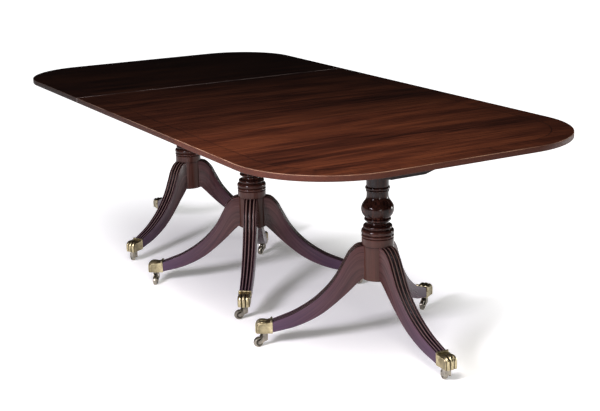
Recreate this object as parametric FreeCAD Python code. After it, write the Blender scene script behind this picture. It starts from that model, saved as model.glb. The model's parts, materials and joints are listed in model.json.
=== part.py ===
import FreeCAD, Part
import os
from math import cos, radians, sin
from FreeCAD import Vector

# A dining table in three sections, each on its own pedestal.
# Millimetres and degrees. X runs across the table, +Y towards its far end, +Z up.
# The origin is on the floor under the middle of the top.

# Top
TABLE_HEIGHT = 740
TOP_LENGTH = 2388
TOP_WIDTH = 1200
TOP_THICKNESS = 19
NEAR_CORNER_RADIUS = 330
FAR_CORNER_RADIUS = 275
TOP_ARRIS_RADIUS = 2
MIDDLE_SECTION_LENGTH = 889
SECTION_GAP = 0.4

# Wooden tongues in the joints
TONGUE_COUNT = 3
TONGUE_SPACING = 360
TONGUE_WIDTH = 60
TONGUE_THICKNESS = 8
TONGUE_REACH = 20
TONGUE_CLEARANCE = 0.3

# Brass clips that slide across the joints, and their keepers
CLIP_INSET = 45
CLIP_WIDTH = 22
CLIP_THICKNESS = 5
CLIP_REACH = 60
CLIP_KNOB_RADIUS = 6
CLIP_KNOB_DROP = 9
CLIP_KNOB_SETBACK = 10
CLIP_CLEARANCE = 0.3
KEEPER_LENGTH = 26
KEEPER_SETBACK = 10
KEEPER_WALL = 3
KEEPER_FLANGE = 9
KEEPER_FLANGE_THICKNESS = 2

# Where the pedestals stand, and how far each is turned
NEAR_PEDESTAL_Y = -719
FAR_PEDESTAL_Y = 758
MIDDLE_PEDESTAL_X = -55
MIDDLE_PEDESTAL_Y = 68
MIDDLE_PEDESTAL_TURN = 11.5
FAR_PEDESTAL_TURN = -3

# Bearers and head blocks
BEARER_LENGTH = 480
BEARER_WIDTH = 40
BEARER_DEPTH = 51
BEARER_SPACING = 100
HEAD_WIDTH = 212
HEAD_LENGTH = 352
HEAD_THICKNESS = 50
HEAD_CHAMFER_WIDTH = 40
HEAD_CHAMFER_HEIGHT = 11

# Screws
SCREW_RADIUS = 3
SCREW_HEAD_RADIUS = 6
SCREW_HEAD_THICKNESS = 4
SCREW_CLEARANCE = 0.1
BEARER_SCREW_SINK = 25
BEARER_SCREW_INSET = 30
TOP_SCREW_BITE = 14
HEAD_SCREW_SINK = 10
HEAD_SCREW_INSET = 56
BEARER_SCREW_BITE = 28

# Column
DRUM_RADIUS = 54
DRUM_BOTTOM = 238
DRUM_HEIGHT = 142
DRUM_CROWN = 4
GROOVE_RADIUS = 51.5
LOWER_RING_RADIUS = 55
LOWER_RING_HEIGHT = 11.5
UPPER_RING_RADIUS = 55.5
UPPER_RING_HEIGHT = 17
BAND_FOOT_RADIUS = 46.5
BAND_RADIUS = 49.5
BAND_HEIGHT = 15.5
COVE_TOP_RADIUS = 33.6
COVE_HEIGHT = 8
COVE_DEPTH = 3
FILLET_FOOT_RADIUS = 41
FILLET_RADIUS = 45.3
FILLET_RISE = 6
FILLET_HEIGHT = 9
BULB_FOOT_RADIUS = 41.5
BULB_RADIUS = 55.5
BULB_LOWER_HEIGHT = 33
BULB_UPPER_HEIGHT = 27
BULB_SHOULDER_RADIUS = 42.5
NECK_RADIUS = 36.5
NECK_HEIGHT = 32
NECK_HOLLOW = 1
COLLAR_FILLET_RADIUS = 38.5
COLLAR_FILLET_HEIGHT = 4.5
TORUS_RADIUS = 41.5
TORUS_HEIGHT = 11.5
COLLAR_RADIUS = 37.5
TENON_RADIUS = 25
TENON_CLEARANCE = 0.1

# Legs
LEG_ROOT_THICKNESS = 52
LEG_TOE_THICKNESS = 42
LEG_ROOT_TOP = 356
LEG_ROOT_BOTTOM = 241
LEG_SHOULDER_GAP = 0.1
LEG_TOE_DEPTH = 38
LEG_TOE_LIFT = 3
DOVETAIL_DEPTH = 20
DOVETAIL_NARROW = 15
DOVETAIL_WIDE = 22
DOVETAIL_TOP = 340
DOVETAIL_CLEARANCE = 0.1
# The sweep of a leg between drum and toe: share of the way, and share of the drop still to come
LEG_TOP_CURVE = (
    (0.04, 0.992),
    (0.125, 0.915),
    (0.21, 0.745),
    (0.296, 0.568),
    (0.467, 0.34),
    (0.727, 0.131),
)
LEG_UNDER_CURVE = ((0.05, 0.925), (0.148, 0.763), (0.253, 0.602), (0.467, 0.325), (0.727, 0.118))

# Toe caps
FOOT_RADIUS = 388
CAP_LENGTH = 60
CAP_WIDTH = 45
CAP_HEIGHT = 44
CAP_WALL = 3
CAP_FLOOR = 5
CAP_FRONT_WALL = 18
CAP_NOSE_RADIUS = 22
CAP_CORNER_RADIUS = 10
CAP_BEHIND_STEM = 30
CAP_BEAD_LENGTH = 6
CAP_BEAD_PROUD = 1.5
CAP_CLEARANCE = 0.15
PIN_RADIUS = 2
PIN_SETBACK = 14
PIN_HEIGHT = 22
PIN_PROUD = 1
PIN_CLEARANCE = 0.05

# Casters
WHEEL_DIAMETER = 36
WHEEL_WIDTH = 14
WHEEL_EDGE_RADIUS = 3
AXLE_RADIUS = 2.5
AXLE_PROUD = 0.8
AXLE_CLEARANCE = 0.05
CASTER_TRAIL = 23
CHEEK_THICKNESS = 3
CHEEK_GAP = 0.6
CHEEK_EYE_RADIUS = 6.5
CHEEK_BACK = 9
CHEEK_FRONT = 8
CHEEK_SHOULDER_DROP = 6
CHEEK_HEEL_HEIGHT = 24
CHEEK_HEEL_REACH = 5
CHEEK_HEEL_RISE = 6
WEB_THICKNESS = 7
CROWN_GAP = 6.8
CROWN_THICKNESS = 3.2
SWIVEL_PLATE_RADIUS = 15
SWIVEL_PLATE_THICKNESS = 3.7
SWIVEL_GAP = 0.3
STEM_RADIUS = 4
STEM_LENGTH = 28
STEM_CLEARANCE = 0.05
STEM_SOCKET_CLEARANCE = 0.3

# Heights and places that follow from the sizes above
TOP_UNDERSIDE = TABLE_HEIGHT - TOP_THICKNESS
BEARER_BOTTOM = TOP_UNDERSIDE - BEARER_DEPTH
HEAD_BOTTOM = BEARER_BOTTOM - HEAD_THICKNESS
NEAR_JOINT_Y = -MIDDLE_SECTION_LENGTH / 2
FAR_JOINT_Y = MIDDLE_SECTION_LENGTH / 2
CLIP_X = TOP_WIDTH / 2 - CLIP_INSET
TONGUE_MIDDLE = TABLE_HEIGHT - TOP_THICKNESS / 2
WHEEL_RADIUS = WHEEL_DIAMETER / 2
CROWN_BOTTOM = WHEEL_DIAMETER + CROWN_GAP
PLATE_BOTTOM = CROWN_BOTTOM + CROWN_THICKNESS
PLATE_TOP = PLATE_BOTTOM + SWIVEL_PLATE_THICKNESS
CAP_BOTTOM = PLATE_TOP + SWIVEL_GAP
CAP_TOP = CAP_BOTTOM + CAP_HEIGHT
CAP_REAR = FOOT_RADIUS - CAP_BEHIND_STEM
CAP_FRONT = CAP_REAR + CAP_LENGTH
LEG_TOE_BOTTOM = CAP_BOTTOM + LEG_TOE_LIFT
LEG_TOE_TOP = LEG_TOE_BOTTOM + LEG_TOE_DEPTH
LEG_SHOULDER = DRUM_RADIUS + LEG_SHOULDER_GAP
STEM_TOP = CAP_BOTTOM + STEM_LENGTH
CHEEK_INSIDE = WHEEL_WIDTH / 2 + CHEEK_GAP
CHEEK_OUTSIDE = CHEEK_INSIDE + CHEEK_THICKNESS
FULL_TURN = 360
OVERCUT = 5

# Each pedestal: its place, and for each leg its name, its direction and the heading of its caster
PEDESTALS = {
    "near": {
        "place": (0, NEAR_PEDESTAL_Y),
        "legs": (("end", 270, 75), ("right", 30, 216), ("left", 150, 184)),
    },
    "middle": {
        "place": (MIDDLE_PEDESTAL_X, MIDDLE_PEDESTAL_Y),
        "legs": (
            ("far_right", 45 + MIDDLE_PEDESTAL_TURN, 217),
            ("far_left", 135 + MIDDLE_PEDESTAL_TURN, 235),
            ("near_left", 225 + MIDDLE_PEDESTAL_TURN, 180),
            ("near_right", 315 + MIDDLE_PEDESTAL_TURN, 300),
        ),
    },
    "far": {
        "place": (0, FAR_PEDESTAL_Y),
        "legs": (
            ("end", 90 + FAR_PEDESTAL_TURN, 330),
            ("left", 210 + FAR_PEDESTAL_TURN, 87),
            ("right", 330 + FAR_PEDESTAL_TURN, 20),
        ),
    },
}
UP = Vector(0, 0, 1)
ACROSS = Vector(0, 1, 0)


def block(x_range, y_range, z_range):
    """A box between two values on each axis."""
    low = [min(pair) for pair in (x_range, y_range, z_range)]
    size = [abs(pair[1] - pair[0]) for pair in (x_range, y_range, z_range)]
    return Part.makeBox(*size, Vector(*low))


def rod(radius, bottom, top, x=0, y=0):
    """An upright cylinder between two heights."""
    return Part.makeCylinder(radius, top - bottom, Vector(x, y, bottom))


def cross_rod(radius, half_length, x, z):
    """A cylinder along Y, centred on the XZ plane."""
    return Part.makeCylinder(radius, 2 * half_length, Vector(x, -half_length, z), ACROSS)


def prism(points, direction):
    """A flat polygon carried along a direction."""
    corners = [Vector(*point) for point in points]
    return Part.Face(Part.makePolygon(corners + corners[:1])).extrude(direction)


def placed(shape, angle, x, y):
    """A copy turned about the Z axis and set down at x, y."""
    copy = shape.copy()
    copy.rotate(Vector(0, 0, 0), UP, angle)
    copy.translate(Vector(x, y, 0))
    return copy


def one_solid(shape):
    """The single solid that a fuse or a cut has to give."""
    solids = shape.removeSplitter().Solids
    if len(solids) != 1:
        raise ValueError(f"expected one solid, found {len(solids)}")
    return solids[0]


def lathe(start, steps):
    """A solid of revolution about Z from (radius, height) steps.

    A step of one point is a straight run, a step of two is an arc through the first to the second.
    """
    edges = []
    here = Vector(start[0], 0, start[1])
    for step in steps:
        points = [Vector(radius, 0, height) for radius, height in step]
        if len(points) == 1:
            edges.append(Part.LineSegment(here, points[0]).toShape())
        else:
            edges.append(Part.Arc(here, points[0], points[1]).toShape())
        here = points[-1]
    return Part.Face(Part.Wire(edges)).revolve(Vector(0, 0, 0), UP, FULL_TURN).Solids[0]


def save(node, *solids):
    shape = solids[0] if len(solids) == 1 else Part.makeCompound(solids)
    shape.exportStep(f"parts/{node}.step")


def end_board(joint_y, end, turn):
    """The board of an end section: a straight joint edge and two round corners."""
    half = TOP_WIDTH / 2
    outwards = 1 if end > joint_y else -1
    sweep = turn * (1 - cos(radians(45)))
    z = TOP_UNDERSIDE
    corner_y, sweep_y = end - outwards * turn, end - outwards * sweep
    joint_left, joint_right = Vector(-half, joint_y, z), Vector(half, joint_y, z)
    left_start, left_end = Vector(-half, corner_y, z), Vector(-half + turn, end, z)
    right_start, right_end = Vector(half - turn, end, z), Vector(half, corner_y, z)
    edges = [
        Part.LineSegment(joint_left, left_start),
        Part.Arc(left_start, Vector(-half + sweep, sweep_y, z), left_end),
        Part.LineSegment(left_end, right_start),
        Part.Arc(right_start, Vector(half - sweep, sweep_y, z), right_end),
        Part.LineSegment(right_end, joint_right),
        Part.LineSegment(joint_right, joint_left),
    ]
    return Part.Face(Part.Wire([edge.toShape() for edge in edges])).extrude(UP * TOP_THICKNESS)


def soften(board, joint_heights):
    """Round the outer arrises, and leave those at the joints sharp."""
    arrises = []
    for edge in board.Edges:
        box = edge.BoundBox
        at_joint = any(abs(box.Center.y - y) < SECTION_GAP / 2 for y in joint_heights)
        if box.ZLength < SECTION_GAP and not at_joint:
            arrises.append(edge)
    return board.makeFillet(TOP_ARRIS_RADIUS, arrises)


def joint_tongues(joint_y, clearance):
    """The tongues across one joint, or the room for them."""
    first = -(TONGUE_COUNT - 1) / 2 * TONGUE_SPACING
    half_width = TONGUE_WIDTH / 2 + clearance
    half_thickness = TONGUE_THICKNESS / 2 + clearance
    reach = TONGUE_REACH + clearance
    tongues = []
    for index in range(TONGUE_COUNT):
        x = first + index * TONGUE_SPACING
        tongues.append(
            block(
                (x - half_width, x + half_width),
                (joint_y - reach, joint_y + reach),
                (TONGUE_MIDDLE - half_thickness, TONGUE_MIDDLE + half_thickness),
            )
        )
    return tongues


def screw_places(place):
    """Upright screws at one pedestal: x, y, underside of the head, and tip."""
    x, y = place
    places = []
    for side in (-1, 1):
        bearer_x = x + side * BEARER_SPACING / 2
        for end in (-1, 1):
            bearer_y = y + end * (BEARER_LENGTH / 2 - BEARER_SCREW_INSET)
            places.append((bearer_x, bearer_y, BEARER_BOTTOM + BEARER_SCREW_SINK, TOP_UNDERSIDE + TOP_SCREW_BITE))
            head_y = y + end * (HEAD_LENGTH / 2 - HEAD_SCREW_INSET)
            places.append((bearer_x, head_y, HEAD_BOTTOM + HEAD_SCREW_SINK, BEARER_BOTTOM + BEARER_SCREW_BITE))
    return places


def screws(place):
    made = []
    for x, y, head_bottom, tip in screw_places(place):
        head = rod(SCREW_HEAD_RADIUS, head_bottom, head_bottom + SCREW_HEAD_THICKNESS, x, y)
        made.append(one_solid(head.fuse(rod(SCREW_RADIUS, head_bottom, tip, x, y))))
    return made


def screw_holes(place):
    """Shank holes, and wider holes from below that sink the heads."""
    holes = []
    for x, y, head_bottom, tip in screw_places(place):
        seat = head_bottom + SCREW_HEAD_THICKNESS
        holes.append(rod(SCREW_RADIUS + SCREW_CLEARANCE, head_bottom, tip + SCREW_CLEARANCE, x, y))
        mouth = BEARER_BOTTOM if head_bottom > BEARER_BOTTOM else HEAD_BOTTOM
        holes.append(rod(SCREW_HEAD_RADIUS + SCREW_CLEARANCE, mouth - OVERCUT, seat, x, y))
    return Part.makeCompound(holes)


def bearers(place):
    x, y = place
    pair = []
    for side in (-1, 1):
        centre = x + side * BEARER_SPACING / 2
        bar = block(
            (centre - BEARER_WIDTH / 2, centre + BEARER_WIDTH / 2),
            (y - BEARER_LENGTH / 2, y + BEARER_LENGTH / 2),
            (BEARER_BOTTOM, TOP_UNDERSIDE),
        )
        pair.append(one_solid(bar.cut(screw_holes(place))))
    return pair


def head_block(place):
    """A block with its long lower edges chamfered, bored for the column's tenon."""
    x, y = place
    half = HEAD_WIDTH / 2
    near = y - HEAD_LENGTH / 2
    flat = half - HEAD_CHAMFER_WIDTH
    shoulder = HEAD_BOTTOM + HEAD_CHAMFER_HEIGHT
    outline = (
        (x - half, near, BEARER_BOTTOM),
        (x - half, near, shoulder),
        (x - flat, near, HEAD_BOTTOM),
        (x + flat, near, HEAD_BOTTOM),
        (x + half, near, shoulder),
        (x + half, near, BEARER_BOTTOM),
    )
    body = prism(outline, ACROSS * HEAD_LENGTH)
    bore = rod(TENON_RADIUS + TENON_CLEARANCE, HEAD_BOTTOM - OVERCUT, BEARER_BOTTOM + OVERCUT, x, y)
    return one_solid(body.cut(bore).cut(screw_holes(place)))


def dovetail(clearance):
    """A dovetail that reaches from a leg's shoulder into the drum, or the room for one."""
    inside = DRUM_RADIUS - DOVETAIL_DEPTH - clearance
    narrow = DOVETAIL_NARROW / 2 + clearance
    wide = DOVETAIL_WIDE / 2 + clearance
    bottom = LEG_ROOT_BOTTOM if clearance == 0 else DRUM_BOTTOM - DRUM_CROWN - OVERCUT
    outside = LEG_SHOULDER + OVERCUT
    outline = (
        (inside, -wide, bottom),
        (outside, -narrow, bottom),
        (outside, narrow, bottom),
        (inside, wide, bottom),
    )
    return prism(outline, UP * (DOVETAIL_TOP + clearance - bottom))


def column(directions):
    """The turned column, from the drum's domed foot up to the tenon, slotted for the legs."""
    drum_top = DRUM_BOTTOM + DRUM_HEIGHT
    lower_ring_top = drum_top + LOWER_RING_HEIGHT
    upper_ring_top = lower_ring_top + UPPER_RING_HEIGHT
    band_top = upper_ring_top + BAND_HEIGHT
    cove_top = band_top + COVE_HEIGHT
    fillet_bottom = cove_top + FILLET_RISE
    fillet_top = fillet_bottom + FILLET_HEIGHT
    bulb_middle = fillet_top + BULB_LOWER_HEIGHT
    bulb_top = bulb_middle + BULB_UPPER_HEIGHT
    neck_top = bulb_top + NECK_HEIGHT
    collar_fillet_top = neck_top + COLLAR_FILLET_HEIGHT
    torus_top = collar_fillet_top + TORUS_HEIGHT
    bulb_bulge = (BULB_RADIUS - BULB_FOOT_RADIUS) * sin(radians(45)) + BULB_FOOT_RADIUS
    shoulder_bulge = (BULB_RADIUS - BULB_SHOULDER_RADIUS) * sin(radians(45)) + BULB_SHOULDER_RADIUS
    half = 1 / 2
    steps = (
        ((0, DRUM_BOTTOM - DRUM_CROWN),),
        ((DRUM_RADIUS * half, DRUM_BOTTOM - DRUM_CROWN * (1 - half * half)), (DRUM_RADIUS, DRUM_BOTTOM)),
        ((DRUM_RADIUS, drum_top),),
        ((GROOVE_RADIUS, drum_top),),
        ((LOWER_RING_RADIUS, (drum_top + lower_ring_top) * half), (GROOVE_RADIUS, lower_ring_top)),
        ((UPPER_RING_RADIUS, (lower_ring_top + upper_ring_top) * half), (GROOVE_RADIUS, upper_ring_top)),
        ((BAND_FOOT_RADIUS, upper_ring_top),),
        ((BAND_RADIUS, (upper_ring_top + band_top) * half), (BAND_FOOT_RADIUS, band_top)),
        ((COVE_TOP_RADIUS + COVE_DEPTH, band_top + COVE_DEPTH), (COVE_TOP_RADIUS, cove_top)),
        ((FILLET_FOOT_RADIUS, fillet_bottom),),
        ((FILLET_RADIUS, (fillet_bottom + fillet_top) * half), (BULB_FOOT_RADIUS, fillet_top)),
        ((bulb_bulge, fillet_top + BULB_LOWER_HEIGHT * (1 - sin(radians(45)))), (BULB_RADIUS, bulb_middle)),
        ((shoulder_bulge, bulb_middle + BULB_UPPER_HEIGHT * sin(radians(45))), (BULB_SHOULDER_RADIUS, bulb_top)),
        ((NECK_RADIUS, bulb_top + NECK_HEIGHT * half), (NECK_RADIUS + NECK_HOLLOW * half, neck_top)),
        ((COLLAR_FILLET_RADIUS, neck_top),),
        ((COLLAR_FILLET_RADIUS, collar_fillet_top),),
        ((TORUS_RADIUS, collar_fillet_top + TORUS_HEIGHT * half), (COLLAR_FILLET_RADIUS, torus_top)),
        ((COLLAR_RADIUS, torus_top),),
        ((COLLAR_RADIUS, HEAD_BOTTOM),),
        ((TENON_RADIUS, HEAD_BOTTOM),),
        ((TENON_RADIUS, BEARER_BOTTOM),),
        ((0, BEARER_BOTTOM),),
    )
    body = lathe((0, BEARER_BOTTOM), steps)
    slots = [placed(dovetail(DOVETAIL_CLEARANCE), direction, 0, 0) for direction in directions]
    return one_solid(body.cut(Part.makeCompound(slots)))


def leg_curve(shares, root_height, toe_height):
    """A smooth curve in the XZ plane from drum to toe, through the given shares of the reach and the drop."""
    reach, drop = CAP_REAR - DRUM_RADIUS, root_height - toe_height
    between = [Vector(DRUM_RADIUS + along * reach, 0, toe_height + left * drop) for along, left in shares]
    points = [Vector(DRUM_RADIUS, 0, root_height), *between, Vector(CAP_REAR, 0, toe_height)]
    curve = Part.BSplineCurve()
    curve.interpolate(points)
    return curve.toShape()


def leg():
    """A tapering sabre leg along +X: shoulder hollowed to the drum, dovetail, and spigot for the toe cap."""
    top = leg_curve(LEG_TOP_CURVE, LEG_ROOT_TOP, LEG_TOE_TOP)
    under = leg_curve(LEG_UNDER_CURVE, LEG_ROOT_BOTTOM, LEG_TOE_BOTTOM)
    toe_top, toe_bottom = Vector(CAP_REAR, 0, LEG_TOE_TOP), Vector(CAP_REAR, 0, LEG_TOE_BOTTOM)
    root_top, root_bottom = Vector(DRUM_RADIUS, 0, LEG_ROOT_TOP), Vector(DRUM_RADIUS, 0, LEG_ROOT_BOTTOM)
    inner_top, inner_bottom = Vector(0, 0, LEG_ROOT_TOP), Vector(0, 0, LEG_ROOT_BOTTOM)
    straight = [
        Part.LineSegment(toe_top, toe_bottom).toShape(),
        Part.LineSegment(root_bottom, inner_bottom).toShape(),
        Part.LineSegment(inner_bottom, inner_top).toShape(),
        Part.LineSegment(inner_top, root_top).toShape(),
    ]
    outline = Part.Wire([top, straight[0], under] + straight[1:])
    body = Part.Face(outline).extrude(ACROSS * LEG_ROOT_THICKNESS)
    body.translate(ACROSS * (-LEG_ROOT_THICKNESS / 2))
    root_half, toe_half = LEG_ROOT_THICKNESS / 2, LEG_TOE_THICKNESS / 2
    below, above = LEG_TOE_BOTTOM - OVERCUT, LEG_ROOT_TOP + OVERCUT
    plan = (
        (0, -root_half, below),
        (DRUM_RADIUS, -root_half, below),
        (CAP_REAR, -toe_half, below),
        (CAP_REAR, toe_half, below),
        (DRUM_RADIUS, root_half, below),
        (0, root_half, below),
    )
    body = body.common(prism(plan, UP * (above - below)))
    shoulder = rod(LEG_SHOULDER, LEG_ROOT_BOTTOM - OVERCUT, LEG_ROOT_TOP + OVERCUT)
    half_spigot = CAP_WIDTH / 2 - CAP_WALL - CAP_CLEARANCE
    spigot = block(
        (CAP_REAR - OVERCUT, CAP_FRONT - CAP_FRONT_WALL - CAP_CLEARANCE),
        (-half_spigot, half_spigot),
        (CAP_BOTTOM + CAP_FLOOR + CAP_CLEARANCE, LEG_TOE_TOP - CAP_CLEARANCE),
    )
    socket = rod(
        STEM_RADIUS + STEM_SOCKET_CLEARANCE, CAP_BOTTOM, STEM_TOP + STEM_SOCKET_CLEARANCE, FOOT_RADIUS
    )
    pin_hole = cross_rod(PIN_RADIUS + PIN_CLEARANCE, CAP_WIDTH, CAP_REAR + PIN_SETBACK, CAP_BOTTOM + PIN_HEIGHT)
    whole = body.cut(shoulder).fuse(dovetail(0)).fuse(spigot)
    return one_solid(whole.cut(socket).cut(pin_hole))


def toe_cap():
    """A brass box open at the rear, round at its nose, with a bead round its rear edge."""
    half = CAP_WIDTH / 2
    nose_rise = CAP_NOSE_RADIUS * sin(radians(45))
    nose_middle = Vector(
        CAP_FRONT - CAP_NOSE_RADIUS + nose_rise, -half, CAP_TOP - CAP_NOSE_RADIUS + nose_rise
    )
    rear_bottom, front_bottom = Vector(CAP_REAR, -half, CAP_BOTTOM), Vector(CAP_FRONT, -half, CAP_BOTTOM)
    nose_low = Vector(CAP_FRONT, -half, CAP_TOP - CAP_NOSE_RADIUS)
    nose_high = Vector(CAP_FRONT - CAP_NOSE_RADIUS, -half, CAP_TOP)
    rear_top = Vector(CAP_REAR, -half, CAP_TOP)
    side = [
        Part.LineSegment(rear_bottom, front_bottom),
        Part.LineSegment(front_bottom, nose_low),
        Part.Arc(nose_low, nose_middle, nose_high),
        Part.LineSegment(nose_high, rear_top),
        Part.LineSegment(rear_top, rear_bottom),
    ]
    shell = Part.Face(Part.Wire([edge.toShape() for edge in side])).extrude(ACROSS * CAP_WIDTH)
    plan = block((CAP_REAR, CAP_FRONT), (-half, half), (CAP_BOTTOM, CAP_TOP))
    corners = [
        edge
        for edge in plan.Edges
        if edge.BoundBox.ZLength > CAP_HEIGHT / 2 and edge.BoundBox.XMin > CAP_REAR + CAP_LENGTH / 2
    ]
    shell = shell.common(plan.makeFillet(CAP_CORNER_RADIUS, corners))
    bead = block(
        (CAP_REAR, CAP_REAR + CAP_BEAD_LENGTH),
        (-half - CAP_BEAD_PROUD, half + CAP_BEAD_PROUD),
        (CAP_BOTTOM, CAP_TOP + CAP_BEAD_PROUD),
    )
    hollow = block(
        (CAP_REAR - OVERCUT, CAP_FRONT - CAP_FRONT_WALL),
        (-half + CAP_WALL, half - CAP_WALL),
        (CAP_BOTTOM + CAP_FLOOR, LEG_TOE_TOP),
    )
    stem_hole = rod(STEM_RADIUS + STEM_CLEARANCE, CAP_BOTTOM - OVERCUT, CAP_TOP - CAP_WALL, FOOT_RADIUS)
    pin_hole = cross_rod(PIN_RADIUS + PIN_CLEARANCE, CAP_WIDTH, CAP_REAR + PIN_SETBACK, CAP_BOTTOM + PIN_HEIGHT)
    return one_solid(shell.fuse(bead).cut(hollow).cut(stem_hole).cut(pin_hole))


def cap_pin():
    return cross_rod(PIN_RADIUS, CAP_WIDTH / 2 + PIN_PROUD, CAP_REAR + PIN_SETBACK, CAP_BOTTOM + PIN_HEIGHT)


def cheek(inside):
    """One flat cheek of a caster fork: a heel below the swivel, and an arm to the eye about the axle."""
    low, high = WHEEL_RADIUS - CHEEK_EYE_RADIUS, WHEEL_RADIUS + CHEEK_EYE_RADIUS
    eye_high, eye_low = Vector(CASTER_TRAIL, inside, high), Vector(CASTER_TRAIL, inside, low)
    tip = Vector(CASTER_TRAIL + CHEEK_EYE_RADIUS, inside, WHEEL_RADIUS)
    heel = CHEEK_HEEL_HEIGHT - CHEEK_HEEL_RISE
    corners = [
        eye_low,
        Vector(CHEEK_HEEL_REACH - CHEEK_BACK, inside, heel),
        Vector(-CHEEK_BACK, inside, CHEEK_HEEL_HEIGHT),
        Vector(-CHEEK_BACK, inside, PLATE_BOTTOM),
        Vector(CHEEK_FRONT, inside, PLATE_BOTTOM),
        Vector(CHEEK_FRONT, inside, PLATE_BOTTOM - CHEEK_SHOULDER_DROP),
        eye_high,
    ]
    edges = [Part.LineSegment(here, there) for here, there in zip(corners, corners[1:])]
    edges.append(Part.Arc(eye_high, tip, eye_low))
    return Part.Face(Part.Wire([edge.toShape() for edge in edges])).extrude(ACROSS * CHEEK_THICKNESS)


def caster_fork():
    """A caster fork about its swivel axis at the origin, with its wheel trailing along +X."""
    crown = block((-CHEEK_BACK, CHEEK_FRONT), (-CHEEK_OUTSIDE, CHEEK_OUTSIDE), (CROWN_BOTTOM, PLATE_BOTTOM))
    web = block(
        (-CHEEK_BACK, WEB_THICKNESS - CHEEK_BACK),
        (-CHEEK_OUTSIDE, CHEEK_OUTSIDE),
        (CHEEK_HEEL_HEIGHT, PLATE_BOTTOM),
    )
    plate = rod(SWIVEL_PLATE_RADIUS, PLATE_BOTTOM, PLATE_TOP)
    stem = rod(STEM_RADIUS, PLATE_BOTTOM, STEM_TOP)
    fork = plate.fuse([stem, crown, web, cheek(-CHEEK_OUTSIDE), cheek(CHEEK_INSIDE)])
    return one_solid(fork.cut(cross_rod(AXLE_RADIUS, 2 * CHEEK_OUTSIDE, CASTER_TRAIL, WHEEL_RADIUS)))


def caster_axle():
    return cross_rod(AXLE_RADIUS, CHEEK_OUTSIDE + AXLE_PROUD, CASTER_TRAIL, WHEEL_RADIUS)


def caster_wheel():
    """A solid wheel with rounded edges, bored for its axle."""
    disc = cross_rod(WHEEL_RADIUS, WHEEL_WIDTH / 2, CASTER_TRAIL, WHEEL_RADIUS)
    rims = [edge for edge in disc.Edges if edge.BoundBox.XLength > WHEEL_RADIUS]
    disc = disc.makeFillet(WHEEL_EDGE_RADIUS, rims)
    return one_solid(disc.cut(cross_rod(AXLE_RADIUS + AXLE_CLEARANCE, WHEEL_WIDTH, CASTER_TRAIL, WHEEL_RADIUS)))


def clip():
    """A flat brass tongue across a joint on the X axis, its knob on the +Y side."""
    top = TOP_UNDERSIDE - CLIP_CLEARANCE
    bottom = top - CLIP_THICKNESS
    bar = block((-CLIP_WIDTH / 2, CLIP_WIDTH / 2), (-CLIP_REACH, CLIP_REACH), (bottom, top))
    knob = rod(CLIP_KNOB_RADIUS, bottom - CLIP_KNOB_DROP, bottom, 0, CLIP_REACH - CLIP_KNOB_SETBACK)
    return one_solid(bar.fuse(knob))


def keeper(side):
    """A brass bridge over the clip, on the +Y or the -Y side of the joint."""
    near, far = side * KEEPER_SETBACK, side * (KEEPER_SETBACK + KEEPER_LENGTH)
    inner = CLIP_WIDTH / 2 + CLIP_CLEARANCE
    outer = inner + KEEPER_WALL
    channel_bottom = TOP_UNDERSIDE - CLIP_THICKNESS - 2 * CLIP_CLEARANCE
    bridge = block((-outer, outer), (near, far), (channel_bottom - KEEPER_WALL, TOP_UNDERSIDE))
    flange = block(
        (-outer - KEEPER_FLANGE, outer + KEEPER_FLANGE),
        (near, far),
        (TOP_UNDERSIDE - KEEPER_FLANGE_THICKNESS, TOP_UNDERSIDE),
    )
    past_ends = (near - side * OVERCUT, far + side * OVERCUT)
    channel = block((-inner, inner), past_ends, (channel_bottom, TOP_UNDERSIDE + OVERCUT))
    return one_solid(bridge.fuse(flange).cut(channel))


def make_top():
    """The three boards, their tongues, clips and keepers."""
    half, half_length = TOP_WIDTH / 2, TOP_LENGTH / 2
    near_edge, far_edge = NEAR_JOINT_Y - SECTION_GAP, FAR_JOINT_Y + SECTION_GAP
    near_board = soften(end_board(near_edge, -half_length, NEAR_CORNER_RADIUS), (near_edge,))
    far_board = soften(end_board(far_edge, half_length, FAR_CORNER_RADIUS), (far_edge,))
    middle_board = block((-half, half), (NEAR_JOINT_Y, FAR_JOINT_Y), (TOP_UNDERSIDE, TABLE_HEIGHT))
    middle_board = soften(middle_board, (NEAR_JOINT_Y, FAR_JOINT_Y))
    glued = Part.makeCompound(joint_tongues(NEAR_JOINT_Y, 0) + joint_tongues(FAR_JOINT_Y, 0))
    boards = {
        "near": near_board.cut(Part.makeCompound(joint_tongues(NEAR_JOINT_Y, TONGUE_CLEARANCE))),
        "middle": middle_board.cut(glued),
        "far": far_board.cut(Part.makeCompound(joint_tongues(FAR_JOINT_Y, TONGUE_CLEARANCE))),
    }
    for name, board in boards.items():
        save(f"{name}_top", one_solid(board.cut(screw_holes(PEDESTALS[name]["place"]))))
    save("near_joint_tongues", *joint_tongues(NEAR_JOINT_Y, 0))
    save("far_joint_tongues", *joint_tongues(FAR_JOINT_Y, 0))
    keepers = {"near": [], "middle": [], "far": []}
    for end, turn, joint_y in (("near", 0, NEAR_JOINT_Y), ("far", FULL_TURN / 2, FAR_JOINT_Y)):
        for side, x in (("left", -CLIP_X), ("right", CLIP_X)):
            save(f"{end}_{side}_clip", placed(clip(), turn, x, joint_y))
            keepers["middle"].append(placed(keeper(1), turn, x, joint_y))
            keepers[end].append(placed(keeper(-1), turn, x, joint_y))
    for name, pieces in keepers.items():
        save(f"{name}_keepers", *pieces)


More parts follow.
